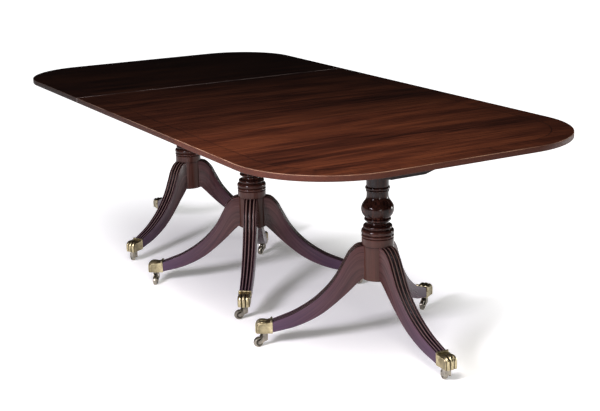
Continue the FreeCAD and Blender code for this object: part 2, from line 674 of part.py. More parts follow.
def make_pedestal(name, place, legs):
    """One pedestal from the screws under the top down to the casters."""
    x, y = place
    save(f"{name}_bearers", *bearers(place))
    save(f"{name}_head_block", head_block(place))
    save(f"{name}_screws", *screws(place))
    save(f"{name}_column", placed(column([direction for _, direction, _ in legs]), 0, x, y))
    save(f"{name}_toe_caps", *[placed(toe_cap(), direction, x, y) for _, direction, _ in legs])
    save(f"{name}_cap_pins", *[placed(cap_pin(), direction, x, y) for _, direction, _ in legs])
    for side, direction, heading in legs:
        foot_x = x + FOOT_RADIUS * cos(radians(direction))
        foot_y = y + FOOT_RADIUS * sin(radians(direction))
        save(f"{name}_{side}_leg", placed(leg(), direction, x, y))
        fork, axle = caster_fork(), caster_axle()
        save(f"{name}_{side}_caster_fork", *[placed(piece, heading, foot_x, foot_y) for piece in (fork, axle)])
        save(f"{name}_{side}_caster_wheel", placed(caster_wheel(), heading, foot_x, foot_y))


os.makedirs("parts", exist_ok=True)
make_top()
for pedestal, layout in PEDESTALS.items():
    make_pedestal(pedestal, layout["place"], layout["legs"])
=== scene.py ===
# %% [markdown]
# # A three-pedestal dining table
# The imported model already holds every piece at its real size. This lesson gives those pieces their
# finished surfaces: softened boards, turned columns, reeded legs and cast brass, all as numpy grids.
# The frame comes first, because the places of boards, columns, feet and axles are read from it instead
# of being typed again.

# %% Load the frame
import json
from math import atan2, cos, degrees, pi, radians, sin

import bmesh
import bpy
import numpy as np
from mathutils import Matrix, Vector

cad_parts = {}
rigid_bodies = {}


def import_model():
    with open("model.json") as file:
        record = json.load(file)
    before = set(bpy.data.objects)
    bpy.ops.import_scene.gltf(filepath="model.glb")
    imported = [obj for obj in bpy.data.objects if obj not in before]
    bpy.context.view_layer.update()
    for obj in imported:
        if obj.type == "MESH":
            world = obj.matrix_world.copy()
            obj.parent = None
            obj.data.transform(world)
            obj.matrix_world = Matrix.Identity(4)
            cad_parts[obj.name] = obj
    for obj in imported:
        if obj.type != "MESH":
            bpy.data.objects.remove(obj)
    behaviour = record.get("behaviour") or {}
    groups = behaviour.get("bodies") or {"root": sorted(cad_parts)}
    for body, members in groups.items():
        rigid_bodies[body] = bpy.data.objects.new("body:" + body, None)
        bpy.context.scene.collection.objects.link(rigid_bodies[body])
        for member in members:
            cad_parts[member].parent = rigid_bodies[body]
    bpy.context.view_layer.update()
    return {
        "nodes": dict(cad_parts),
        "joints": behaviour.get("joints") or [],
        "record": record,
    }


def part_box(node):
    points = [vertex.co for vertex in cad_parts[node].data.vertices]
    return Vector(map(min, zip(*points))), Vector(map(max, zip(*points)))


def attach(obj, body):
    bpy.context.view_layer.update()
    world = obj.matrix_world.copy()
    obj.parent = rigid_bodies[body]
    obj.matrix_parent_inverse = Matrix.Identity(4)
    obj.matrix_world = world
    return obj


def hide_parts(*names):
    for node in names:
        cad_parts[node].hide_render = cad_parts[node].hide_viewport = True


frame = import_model()
joints = {joint["name"]: joint for joint in frame["joints"]}
print("nodes:", len(frame["nodes"]), "joints:", len(joints))

# %% [markdown]
# ## From arrays to meshes
# A surface here is an array of points with rows and columns. Faces join each point to its neighbours,
# so their indices can be worked out as whole arrays too. One helper turns points and faces into an
# object, makes the faces look outwards, and marks sharp edges by their angle.
# Wood also needs to know which way its fibres run, so each wooden piece carries a vector attribute
# named grain, whose first value runs along the fibres. An attribute named hollow says how deep a point
# lies in a groove. On the brass it is the dark patina of its hollows; on the wood it darkens grooves as
# painted shade, and where it is negative it paints crests pale as a painted highlight.

# %% Faces of a grid
def grid_faces(rows, columns, wrap_columns=False):
    """Quads between neighbouring points of a rows by columns grid, closed round where asked."""
    last = columns if wrap_columns else columns - 1
    row, column = np.meshgrid(np.arange(rows - 1), np.arange(last), indexing="ij")
    beside = (column + 1) % columns
    here, below = row * columns, (row + 1) * columns
    corners = np.stack([here + column, below + column, below + beside, here + beside], -1)
    return corners.reshape(-1, 4).tolist()


def tube_faces(rows, columns):
    """Quads of a grid that is closed round, then its first and its last row as flat ends."""
    ends = [list(range(columns)), list(range((rows - 1) * columns, rows * columns))]
    return grid_faces(rows, columns, wrap_columns=True) + ends


print("faces of a tube with 3 rows of 4 points:", len(tube_faces(3, 4)))

# %% Pieces from points and faces
SHARP_ANGLE = radians(38)


def new_piece(name, points, faces, **attributes):
    """An object at the origin from an array of points, with outward faces and sharp creases."""
    mesh = bpy.data.meshes.new(name)
    mesh.from_pydata(points.reshape(-1, 3).tolist(), [], faces)
    work = bmesh.new()
    work.from_mesh(mesh)
    bmesh.ops.recalc_face_normals(work, faces=work.faces)
    work.to_mesh(mesh)
    work.free()
    mesh.shade_smooth()
    mesh.set_sharp_from_angle(angle=SHARP_ANGLE)
    for label, values in attributes.items():
        kind, field = ("FLOAT", "value") if values.ndim == 1 else ("FLOAT_VECTOR", "vector")
        attribute = mesh.attributes.new(label, kind, "POINT")
        attribute.data.foreach_set(field, values.reshape(-1).astype(np.float32))
    thing = bpy.data.objects.new(name, mesh)
    bpy.context.scene.collection.objects.link(thing)
    return thing


print("creases sharper than", round(degrees(SHARP_ANGLE)), "degrees stay sharp")


# %% Placing, joining and dressing
def turn_about(points, angle, place):
    """Points turned about the upright axis and carried to a place on the floor."""
    c, s = cos(angle), sin(angle)
    turn = np.array([[c, -s, 0], [s, c, 0], [0, 0, 1]])
    return points @ turn.T + np.array([place[0], place[1], 0])


def join_shapes(shapes):
    """One point array, face list and hollow array from several (points, faces, hollow) shapes."""
    points, faces, hollow = [], [], []
    count = 0
    for shape_points, shape_faces, shape_hollow in shapes:
        points.append(shape_points)
        faces += [[index + count for index in face] for face in shape_faces]
        hollow.append(shape_hollow)
        count += len(shape_points)
    return np.concatenate(points), faces, np.concatenate(hollow)


def dress(thing, material, body, node):
    """Give a piece its finish and its body, and hide the CAD node that it stands for."""
    thing.data.materials.append(material)
    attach(thing, body)
    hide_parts(node)


print("X after a quarter turn:", turn_about(np.array([1.0, 0, 0]), pi / 2, (0, 0)).round(3).tolist())

# %% [markdown]
# ## Reading the pedestals from the frame
# Each caster has a swivel joint over its foot and a rolling joint at its axle. A head block's box gives
# the column's axis, so the direction of each leg and the heading of each caster follow from three points.

# %% Pedestals and feet
UNITS = ("near", "middle", "far")
axes = {}
feet = []
for unit in UNITS:
    low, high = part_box(f"{unit}_head_block")
    axes[unit] = ((low.x + high.x) / 2, (low.y + high.y) / 2)
    for name, swivel in joints.items():
        if swivel["parent"] != f"{unit}_unit" or not name.endswith("_caster_swivel"):
            continue
        foot = name.removesuffix("_caster_swivel")
        x, y, _ = swivel["pos_m"]
        axle = joints[f"{foot}_caster_roll"]["pos_m"]
        feet.append(
            {
                "name": foot,
                "unit": unit,
                "place": (x, y),
                "direction": atan2(y - axes[unit][1], x - axes[unit][0]),
                "heading": atan2(axle[1] - y, axle[0] - x),
            }
        )
FOOT_REACH = float(np.hypot(*np.subtract(feet[0]["place"], axes["near"])))
print("feet:", [(foot["name"], round(degrees(foot["direction"]))) for foot in feet])

# %% [markdown]
# ## Node helpers
# Materials are trees of nodes. A few short helpers keep the recipes readable. The first make groups and
# materials, and plug in either a link or a plain value. The next do arithmetic. The last make noise that
# is stretched along the grain, mix colours and give relief.

# %% Groups, materials and sockets
def new_group(name, inputs, outputs):
    """An empty shader group with named sockets, and its two end nodes."""
    group = bpy.data.node_groups.new(name, "ShaderNodeTree")
    for socket, kind in inputs:
        group.interface.new_socket(socket, in_out="INPUT", socket_type=f"NodeSocket{kind}")
    for socket, kind in outputs:
        group.interface.new_socket(socket, in_out="OUTPUT", socket_type=f"NodeSocket{kind}")
    return group, group.nodes.new("NodeGroupInput").outputs, group.nodes.new("NodeGroupOutput").inputs


def put(tree, socket, value):
    """Plug a link in, or set a plain value."""
    if isinstance(value, bpy.types.NodeSocket):
        tree.links.new(value, socket)
    else:
        socket.default_value = value


def use_group(tree, group, **values):
    """A node group placed in a tree with its inputs set by name; gives its outputs."""
    node = tree.nodes.new("ShaderNodeGroup")
    node.node_tree = group
    for label, value in values.items():
        put(tree, node.inputs[label], value)
    return node.outputs


def new_material(name):
    """A material with an empty Principled shader, its node tree and the shader's inputs."""
    material = bpy.data.materials.new(name)
    material.use_nodes = True
    tree = material.node_tree
    return material, tree, tree.nodes["Principled BSDF"].inputs


def attribute_value(tree, label, output):
    """One output of the mesh attribute that is stored under a label."""
    node = tree.nodes.new("ShaderNodeAttribute")
    node.attribute_name = label
    return node.outputs[output]


print("helpers:", [helper.__name__ for helper in (new_group, put, use_group, new_material, attribute_value)])


# %% Arithmetic with nodes
def calc(tree, operation, *values):
    """One step of arithmetic on links or plain values."""
    node = tree.nodes.new("ShaderNodeMath")
    node.operation = operation
    for index, value in enumerate(values):
        put(tree, node.inputs[index], value)
    return node.outputs[0]


def remap(tree, value, low, high, new_low=0.0, new_high=1.0):
    """The range from low to high carried over to new_low to new_high, and held past its ends."""
    node = tree.nodes.new("ShaderNodeMapRange")
    names = ("Value", "From Min", "From Max", "To Min", "To Max")
    for name, amount in zip(names, (value, low, high, new_low, new_high)):
        put(tree, node.inputs[name], amount)
    return node.outputs["Result"]


def combine(tree, x, y, z):
    """A vector from its three values."""
    node = tree.nodes.new("ShaderNodeCombineXYZ")
    for socket, value in zip(node.inputs, (x, y, z)):
        put(tree, socket, value)
    return node.outputs[0]


def separate(tree, vector):
    """The three values of a vector."""
    node = tree.nodes.new("ShaderNodeSeparateXYZ")
    put(tree, node.inputs[0], vector)
    return node.outputs


print("helpers:", [helper.__name__ for helper in (calc, remap, combine, separate)])


# %% Noise, colour and relief
def stretched_noise(tree, vector, scale, detail=3.0, distortion=0.0):
    """Noise on a vector that is scaled differently along and across the grain."""
    mapping = tree.nodes.new("ShaderNodeMapping")
    put(tree, mapping.inputs["Vector"], vector)
    mapping.inputs["Scale"].default_value = scale
    noise = tree.nodes.new("ShaderNodeTexNoise")
    put(tree, noise.inputs["Vector"], mapping.outputs["Vector"])
    noise.inputs["Scale"].default_value = 1.0
    noise.inputs["Detail"].default_value = detail
    noise.inputs["Distortion"].default_value = distortion
    return noise.outputs["Fac"]


def mix_colour(tree, factor, first, second, blend="MIX"):
    """Two colours mixed by a factor; sockets 6 and 7 of the Mix node are its colours."""
    node = tree.nodes.new("ShaderNodeMix")
    node.data_type = "RGBA"
    node.blend_type = blend
    put(tree, node.inputs[0], factor)
    put(tree, node.inputs[6], first)
    put(tree, node.inputs[7], second)
    return node.outputs[2]


def bump(tree, height, strength, distance):
    """A normal that leans with the slope of a height."""
    node = tree.nodes.new("ShaderNodeBump")
    put(tree, node.inputs["Height"], height)
    node.inputs["Strength"].default_value = strength
    node.inputs["Distance"].default_value = distance
    return node.outputs["Normal"]


print("helpers:", [helper.__name__ for helper in (stretched_noise, mix_colour, bump)])

# %% [markdown]
# ## Mahogany
# Old mahogany shows several scales at once: broad stripes from the way the board was cut, a mottle,
# fine lines and finer threads along the fibres, and short dark pores. Each is a noise stretched along
# the grain, and the first four are added up by weight. The boards, legs and columns all share this, so
# it is one node group, and each finish sets its own three browns, its own stripe width and a shift
# towards light or dark.

# %% The figure of the wood
STRIPE_LENGTH = 1.5
MOTTLE_SCALE = (4.5, 48.0, 48.0)
LINE_SCALE = (4.0, 150.0, 150.0)
THREAD_SCALE = (10.0, 420.0, 420.0)
PORE_SCALE = (26.0, 700.0, 700.0)
STRIPE_WEIGHT, MOTTLE_WEIGHT, LINE_WEIGHT, THREAD_WEIGHT = 0.30, 0.20, 0.32, 0.18
DARK_TO_MIDDLE, MIDDLE_TO_LIGHT = (0.40, 0.51), (0.5, 0.62)
PORE_LIMITS = (0.58, 0.7)
PORE_SHARE = 0.3
PORE_BROWN = (0.008, 0.003, 0.002, 1)
LINE_LIMITS, LINE_ROUGHNESS = (0.3, 0.7), (0.14, 0.24)

mahogany_figure, given, result = new_group(
    "mahogany_figure",
    [("Vector", "Vector"), ("Stripes", "Float"), ("Shift", "Float")]
    + [("Dark", "Color"), ("Middle", "Color"), ("Light", "Color")],
    [("Color", "Color"), ("Roughness", "Float"), ("Height", "Float")],
)
wood = mahogany_figure
along, across, depth = separate(wood, given["Vector"])
stripe_vector = combine(
    wood,
    calc(wood, "MULTIPLY", along, STRIPE_LENGTH),
    calc(wood, "MULTIPLY", across, given["Stripes"]),
    calc(wood, "MULTIPLY", depth, given["Stripes"]),
)
stripes = stretched_noise(wood, stripe_vector, (1, 1, 1), detail=4.0, distortion=0.35)
mottle = stretched_noise(wood, given["Vector"], MOTTLE_SCALE, detail=3.0, distortion=0.4)
lines = stretched_noise(wood, given["Vector"], LINE_SCALE, detail=4.0, distortion=0.3)
threads = stretched_noise(wood, given["Vector"], THREAD_SCALE, detail=2.0, distortion=0.2)
pores = stretched_noise(wood, given["Vector"], PORE_SCALE, detail=2.0)
tone = calc(wood, "MULTIPLY_ADD", stripes, STRIPE_WEIGHT, given["Shift"])
for scale, weight in ((mottle, MOTTLE_WEIGHT), (lines, LINE_WEIGHT), (threads, THREAD_WEIGHT)):
    tone = calc(wood, "MULTIPLY_ADD", scale, weight, tone)
colour = mix_colour(wood, remap(wood, tone, *DARK_TO_MIDDLE), given["Dark"], given["Middle"])
colour = mix_colour(wood, remap(wood, tone, *MIDDLE_TO_LIGHT), colour, given["Light"])
pore_mask = remap(wood, pores, *PORE_LIMITS)
pore_share = calc(wood, "MULTIPLY", pore_mask, PORE_SHARE)
put(wood, result["Color"], mix_colour(wood, pore_share, colour, PORE_BROWN))
put(wood, result["Roughness"], remap(wood, lines, *LINE_LIMITS, *LINE_ROUGHNESS))
put(wood, result["Height"], calc(wood, "SUBTRACT", lines, pore_mask))
print("group:", mahogany_figure.name)

# %% [markdown]
# ## The top's border
# A crossbanded border runs round the whole table, with a thin dark string along its inner side. Both
# follow the outline, a rectangle with round corners, so they are made from the distance to it. With q
# the position measured from the corner's centre, the distance is the length of q's positive part less
# the radius. The same q gives a length along the edge, so the border's fibres run square to the edge.

# %% Distance to the outline
top_low, top_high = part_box("near_top")
far_low, far_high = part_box("far_top")
HALF_WIDTH = (top_high.x - top_low.x) / 2
HALF_LENGTH = (far_high.y - top_low.y) / 2
TOP_HEIGHT = top_high.z
TOP_UNDERSIDE = top_low.z
NEAR_CORNER, FAR_CORNER = 0.330, 0.275

outline_distance, given, result = new_group(
    "outline_distance", [("Vector", "Vector")], [("Inset", "Float"), ("Along", "Float")]
)
shape = outline_distance
x, y, _ = separate(shape, given["Vector"])
at_near = calc(shape, "LESS_THAN", y, 0.0)
corner = calc(shape, "MULTIPLY_ADD", at_near, NEAR_CORNER - FAR_CORNER, FAR_CORNER)
q_x = calc(shape, "ADD", calc(shape, "SUBTRACT", calc(shape, "ABSOLUTE", x), HALF_WIDTH), corner)
q_y = calc(shape, "ADD", calc(shape, "SUBTRACT", calc(shape, "ABSOLUTE", y), HALF_LENGTH), corner)
out_x = calc(shape, "MAXIMUM", q_x, 0.0)
out_y = calc(shape, "MAXIMUM", q_y, 0.0)
squares = calc(shape, "MULTIPLY_ADD", out_x, out_x, calc(shape, "MULTIPLY", out_y, out_y))
inside = calc(shape, "MINIMUM", calc(shape, "MAXIMUM", q_x, q_y), 0.0)
outside = calc(shape, "ADD", calc(shape, "SQRT", squares), inside)
put(shape, result["Inset"], calc(shape, "SUBTRACT", corner, outside))
turned_length = calc(shape, "MULTIPLY", calc(shape, "ARCTAN2", out_y, out_x), corner)
straight = calc(shape, "SUBTRACT", calc(shape, "MINIMUM", q_y, 0.0), calc(shape, "MINIMUM", q_x, 0.0))
put(shape, result["Along"], calc(shape, "ADD", turned_length, straight))
print("group:", outline_distance.name, "over", round(2 * HALF_LENGTH, 3), "by", round(2 * HALF_WIDTH, 3))

# %% [markdown]
# ## Finish of the boards
# Every board in a section was a separate plank, so a random shift for each plank moves its browns up
# or down. The planks run across the table, and their edges lie at even steps along it. The border
# takes the same wood turned across, mixed in softly, and the string is nearly black.

# %% Planks and border of the top
PLANK_WIDTH = 0.205
PLANK_SPREAD = 0.02
PLANK_OFFSET = 2.1
FIELD_STRIPES, BORDER_STRIPES = 13.0, 30.0
BORDER_WIDTH = 0.072
BORDER_SHARE = 0.35
BORDER_SHIFT = -0.01
STRING_WIDTH = 0.0024
STRING_BLACK = (0.005, 0.003, 0.003, 1)
TOP_BROWNS = {
    "Dark": (0.018, 0.0048, 0.003, 1),
    "Middle": (0.074, 0.0185, 0.0085, 1),
    "Light": (0.160, 0.043, 0.016, 1),
}

top_finish, tree, shader = new_material("polished_top")
position = tree.nodes.new("ShaderNodeTexCoord").outputs["Object"]
x, y, z = separate(tree, position)
plank = calc(tree, "FLOOR", calc(tree, "DIVIDE", calc(tree, "ADD", y, HALF_LENGTH), PLANK_WIDTH))
plank_noise = tree.nodes.new("ShaderNodeTexWhiteNoise")
plank_noise.noise_dimensions = "1D"
put(tree, plank_noise.inputs["W"], plank)
plank_shift = remap(tree, plank_noise.outputs["Value"], 0, 1, -PLANK_SPREAD, PLANK_SPREAD)
plank_vector = combine(tree, calc(tree, "MULTIPLY_ADD", plank, PLANK_OFFSET, x), y, z)
planks = {"Vector": plank_vector, "Stripes": FIELD_STRIPES, "Shift": plank_shift}
field = use_group(tree, mahogany_figure, **planks, **TOP_BROWNS)
edge = use_group(tree, outline_distance, Vector=position)
band_vector = combine(tree, edge["Inset"], edge["Along"], z)
crossband = {"Vector": band_vector, "Stripes": BORDER_STRIPES, "Shift": BORDER_SHIFT}
band = use_group(tree, mahogany_figure, **crossband, **TOP_BROWNS)
in_border = calc(tree, "LESS_THAN", edge["Inset"], BORDER_WIDTH)
border_share = calc(tree, "MULTIPLY", in_border, BORDER_SHARE)
surface = mix_colour(tree, border_share, field["Color"], band["Color"])
off_string = calc(tree, "ABSOLUTE", calc(tree, "SUBTRACT", edge["Inset"], BORDER_WIDTH))
in_string = calc(tree, "LESS_THAN", off_string, STRING_WIDTH / 2)
surface = mix_colour(tree, in_string, surface, STRING_BLACK)
print("finish:", top_finish.name, "with planks", PLANK_WIDTH, "wide")

# %% [markdown]
# ## Wear, painted light and polish of the boards
# Noise can't know where a rim is, so four values come with each point of a board. Tone is the share of
# light that it gives back: it runs along each section and mostly falls towards the far end, partly the
# sections' own wood and partly a painted shade of the light falling off along the table. A darker tone
# is also greyer. Edge is 1 on the rim, where handling has worn the colour to red, and under is 1 on the
# dull underside. Arris is 1 on the rounded corner between top and rim, which is painted pale in
# patches: partly polish rubbed through to pale wood, partly a painted highlight of the light along that
# corner, as it is in patches along the far joint.

# %% Wear, painted light and polish of the top
WORN_EDGE = (0.058, 0.0135, 0.0060, 1)
EDGE_SHARE = 0.75
EDGE_ROUGHNESS = 0.2
# A pale colour on the upper arris: partly polish rubbed through, partly a painted highlight along it
PALE_ARRIS_WEAR_AND_HIGHLIGHT = (0.320, 0.180, 0.115, 1)
PATCH_SCALE = (9.0, 9.0, 9.0)
PATCH_LIMITS, PATCH_SHARES = (0.35, 0.6), (0.2, 1.0)
GREEN_POWER, BLUE_POWER = 0.9, 0.8
# A pale line along the far joint: partly rubbed wear, partly a painted highlight of the light on its edge
PALE_JOINT_WEAR_AND_HIGHLIGHT = (0.300, 0.240, 0.220, 1)
JOINT_LINE_HALF_WIDTH = 0.0018
DULL_UNDERSIDE = (0.030, 0.014, 0.009, 1)
SATIN = 0.26
TOP_RELIEF = (0.06, 0.0006)
TOP_GLOSS = 0.2

on_edge = attribute_value(tree, "edge", "Fac")
surface = mix_colour(tree, calc(tree, "MULTIPLY", on_edge, EDGE_SHARE), surface, WORN_EDGE)
patch_noise = stretched_noise(tree, position, PATCH_SCALE, detail=3.0)
wear_and_highlight_patches = remap(tree, patch_noise, *PATCH_LIMITS, *PATCH_SHARES)
# The arris painted pale in patches: rubbed wear and a painted highlight of the light along it
arris_wear_and_highlight = calc(tree, "MULTIPLY", attribute_value(tree, "arris", "Fac"), wear_and_highlight_patches)
surface = mix_colour(tree, arris_wear_and_highlight, surface, PALE_ARRIS_WEAR_AND_HIGHLIGHT)
# Tone darkens along the table: partly the sections' own wood, partly painted shade of the light's falloff
tone = attribute_value(tree, "tone", "Fac")
green, blue = (calc(tree, "POWER", tone, power) for power in (GREEN_POWER, BLUE_POWER))
greyer_falloff_shade = combine(tree, tone, green, blue)
surface = mix_colour(tree, 1.0, surface, greyer_falloff_shade, "MULTIPLY")
# The far joint painted pale in patches: rubbed wear and a painted highlight
off_joint = calc(tree, "ABSOLUTE", calc(tree, "SUBTRACT", y, far_low.y))
joint_wear_and_highlight_line = calc(tree, "LESS_THAN", off_joint, JOINT_LINE_HALF_WIDTH)
surface = mix_colour(tree, calc(tree, "MULTIPLY", joint_wear_and_highlight_line, wear_and_highlight_patches), surface, PALE_JOINT_WEAR_AND_HIGHLIGHT)
below = attribute_value(tree, "under", "Fac")
put(tree, shader["Base Color"], mix_colour(tree, below, surface, DULL_UNDERSIDE))
dull = calc(tree, "MULTIPLY", calc(tree, "MAXIMUM", below, on_edge), EDGE_ROUGHNESS)
satin = calc(tree, "ADD", field["Roughness"], SATIN)
put(tree, shader["Roughness"], calc(tree, "ADD", dull, satin))
put(tree, shader["Normal"], bump(tree, field["Height"], *TOP_RELIEF))
shader["Specular IOR Level"].default_value = TOP_GLOSS
print("nodes in the finish of the top:", len(tree.nodes))

# %% [markdown]
# ## Finish of columns, legs and inner timber
# Turned and shaped pieces use their own grain attribute, so stripes bend with a leg. The hollow
# attribute darkens grooves as painted shade, and where it is negative it paints crests pale as a painted
# highlight. A third attribute mixes in painted light: a violet sheen on the legs towards the toes, and a
# lighter brown on the drums, where the light reaches under the top's shadow. The columns take a darker
# copy of the mahogany, a painted shade of that shadow. The timber out of sight under the top is dull and
# unpolished.

# %% Wood finishes
# A violet sheen painted on the legs towards the toes: a painted reflection of cool light
VIOLET_SHEEN = (0.062, 0.036, 0.078, 1)
# A lighter brown painted on the drums: painted light below the top's shadow
LIT_DRUM_BROWN = (0.092, 0.034, 0.025, 1)
# Crests painted pale as a highlight, grooves painted dark as shade
CREST_HIGHLIGHT = (0.200, 0.140, 0.115, 1)
GROOVE_SHADE = (0.004, 0.002, 0.002, 1)
PAINTED_LIGHT_SHARE = 0.68
SHAPED_RELIEF = (0.05, 0.0006)


def shaped_wood(name, browns, painted_light_colour, stripes, polish, gloss):
    """Figure, then painted light, painted groove shade and crest highlight; polish adds to roughness."""
    material, tree, shader = new_material(name)
    grain = attribute_value(tree, "grain", "Vector")
    figure = use_group(tree, mahogany_figure, Vector=grain, Stripes=stripes, Shift=0.0, **browns)
    hollow = attribute_value(tree, "hollow", "Fac")
    # The third attribute mixes in painted light: violet sheen on the legs, a lit brown on the drums
    painted_light_share = calc(tree, "MULTIPLY", attribute_value(tree, "bloom", "Fac"), PAINTED_LIGHT_SHARE)
    shade = mix_colour(tree, painted_light_share, figure["Color"], painted_light_colour)
    # Painted shade in the grooves
    shade = mix_colour(tree, hollow, shade, GROOVE_SHADE)
    # Painted highlight on the crests, where hollow is negative
    shade = mix_colour(tree, remap(tree, hollow, low=0, high=-1), shade, CREST_HIGHLIGHT)
    put(tree, shader["Base Color"], shade)
    put(tree, shader["Roughness"], calc(tree, "ADD", figure["Roughness"], polish))
    put(tree, shader["Normal"], bump(tree, figure["Height"], *SHAPED_RELIEF))
    shader["Specular IOR Level"].default_value = gloss
    return material


LEG_BROWNS = {
    "Dark": (0.022, 0.008, 0.006, 1),
    "Middle": (0.048, 0.018, 0.017, 1),
    "Light": (0.080, 0.031, 0.028, 1),
}
# The columns take a darker copy of the legs' mahogany: painted shade of the top's shadow on them
SHADED_COLUMN_BROWNS = {
    "Dark": (0.006, 0.002, 0.002, 1),
    "Middle": (0.018, 0.006, 0.004, 1),
    "Light": (0.044, 0.014, 0.010, 1),
}
leg_wood = shaped_wood("leg_mahogany", LEG_BROWNS, VIOLET_SHEEN, stripes=30.0, polish=0.04, gloss=0.2)
shaded_column_wood = shaped_wood("column_mahogany", SHADED_COLUMN_BROWNS, LIT_DRUM_BROWN, stripes=38.0, polish=-0.05, gloss=0.16)
print("finishes:", leg_wood.name, shaded_column_wood.name)

# %% Inner timber
INNER_STRIPES = 36.0
INNER_ROUGHNESS = 0.3
INNER_GLOSS = 0.15
INNER_RELIEF = (0.2, 0.001)
INNER_BROWNS = {
    "Dark": (0.006, 0.004, 0.004, 1),
    "Middle": (0.014, 0.010, 0.010, 1),
    "Light": (0.026, 0.018, 0.016, 1),
}
inner_wood, tree, shader = new_material("inner_timber")
x, y, z = separate(tree, tree.nodes.new("ShaderNodeTexCoord").outputs["Object"])
fibres = combine(tree, y, x, z)
figure = use_group(tree, mahogany_figure, Vector=fibres, Stripes=INNER_STRIPES, Shift=0.0, **INNER_BROWNS)
put(tree, shader["Base Color"], figure["Color"])
put(tree, shader["Roughness"], calc(tree, "ADD", figure["Roughness"], INNER_ROUGHNESS))
put(tree, shader["Normal"], bump(tree, figure["Height"], *INNER_RELIEF))
shader["Specular IOR Level"].default_value = INNER_GLOSS
print("finish:", inner_wood.name)

# %% [markdown]
# ## Brass and steel
# The caps are old brass: bright where hands and floors rub it, brown and rougher in the hollows. The
# casters are duller, from years of floor dirt. One group makes that age from noise at two scales and
# the hollow mask.

# %% Age of metal
CLOUD_SCALE, SPECK_SCALE = (70, 70, 70), (620, 620, 620)
CLOUD_WEIGHT, SPECK_WEIGHT = 0.75, 0.25
DULL_LIMITS = (0.38, 0.66)
METAL_ROUGHNESS = (0.26, 0.5)

aged_metal, given, result = new_group(
    "aged_metal",
    [("Vector", "Vector"), ("Hollow", "Float")] + [(label, "Color") for label in ("Bright", "Dull", "Dark")],
    [("Color", "Color"), ("Roughness", "Float"), ("Height", "Float")],
)
clouds = stretched_noise(aged_metal, given["Vector"], CLOUD_SCALE, detail=4.0)
specks = stretched_noise(aged_metal, given["Vector"], SPECK_SCALE, detail=2.0)
specked = calc(aged_metal, "MULTIPLY", specks, SPECK_WEIGHT)
age = calc(aged_metal, "MULTIPLY_ADD", clouds, CLOUD_WEIGHT, specked)
dullness = remap(aged_metal, age, *DULL_LIMITS)
tarnished = mix_colour(aged_metal, dullness, given["Bright"], given["Dull"])
put(aged_metal, result["Color"], mix_colour(aged_metal, given["Hollow"], tarnished, given["Dark"]))
worst = calc(aged_metal, "MAXIMUM", dullness, given["Hollow"])
put(aged_metal, result["Roughness"], remap(aged_metal, worst, 0, 1, *METAL_ROUGHNESS))
put(aged_metal, result["Height"], age)
print("group:", aged_metal.name)

# %% Metal finishes
METAL_RELIEF = (0.12, 0.0005)


def metal(name, bright, dull, dark):
    """A fully metallic finish whose colour and roughness come from age and hollows."""
    material, tree, shader = new_material(name)
    spot = tree.nodes.new("ShaderNodeTexCoord").outputs["Object"]
    hollow = attribute_value(tree, "hollow", "Fac")
    aged = use_group(tree, aged_metal, Vector=spot, Hollow=hollow, Bright=bright, Dull=dull, Dark=dark)
    put(tree, shader["Base Color"], aged["Color"])
    put(tree, shader["Roughness"], aged["Roughness"])
    put(tree, shader["Normal"], bump(tree, aged["Height"], *METAL_RELIEF))
    shader["Metallic"].default_value = 1.0
    return material


brass = metal("old_brass", (0.52, 0.45, 0.28, 1), (0.29, 0.24, 0.14, 1), (0.035, 0.025, 0.014, 1))
caster_brass = metal("caster_brass", (0.34, 0.31, 0.25, 1), (0.19, 0.175, 0.15, 1), (0.03, 0.025, 0.02, 1))
steel = metal("screw_steel", (0.32, 0.31, 0.3, 1), (0.12, 0.1, 0.09, 1), (0.05, 0.04, 0.04, 1))
print("finishes:", brass.name, caster_brass.name, steel.name)

# %% [markdown]
# ## The three boards
# A board is its outline carried up a small edge profile: a rounded lower arris, a flat edge and a
# rounded upper arris. Moving the outline inwards needs the direction halfway between the two sides
# that meet at each point. At a joint the boards meet with nearly sharp corners, so each outline point
# also has its share of the rounding. The flat faces are then single polygons.

# %% Outlines of the boards
CORNER_STEPS = 40
JOINT_SHARE = 0.4
JOINT_RUN = 0.004


def end_outline(joint_y, end_y, corner):
    """The joint's corners, a short run beside each, then two quarter circles, as x, y and arris share."""
    toward_end = np.sign(end_y - joint_y)
    angles = np.linspace(0, pi / 2, CORNER_STEPS)
    centre_x, centre_y = HALF_WIDTH - corner, end_y - toward_end * corner
    bend_x, bend_y = corner * np.cos(angles), toward_end * corner * np.sin(angles)
    left = np.stack([-centre_x - bend_x, centre_y + bend_y], 1)
    run_y = joint_y + toward_end * JOINT_RUN
    joint = [[HALF_WIDTH, run_y], [HALF_WIDTH, joint_y], [-HALF_WIDTH, joint_y], [-HALF_WIDTH, run_y]]
    share = np.concatenate([[1, JOINT_SHARE, JOINT_SHARE, 1], np.ones(2 * CORNER_STEPS)])
    return np.concatenate([joint, left, left[::-1] * np.array([-1, 1])]), share


def middle_outline(near_y, far_y):
    """A rectangle with a short run beside each corner, as x, y and arris share."""
    along = np.array([near_y, near_y + JOINT_RUN, far_y - JOINT_RUN, far_y])
    right = np.stack([np.full(len(along), HALF_WIDTH), along], 1)
    share = np.array([JOINT_SHARE, 1, 1, JOINT_SHARE])
    return np.concatenate([right, right[::-1] * np.array([-1, 1])]), np.tile(share, 2)


middle_low, middle_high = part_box("middle_top")
outlines = {
    "near": end_outline(top_high.y, top_low.y, NEAR_CORNER),
    "middle": middle_outline(middle_low.y, middle_high.y),
    "far": end_outline(far_low.y, far_high.y, FAR_CORNER),
}
print("outline points:", {unit: len(outline) for unit, (outline, share) in outlines.items()})

# %% Boards
ARRIS = 0.002
ARRIS_STEPS = 5
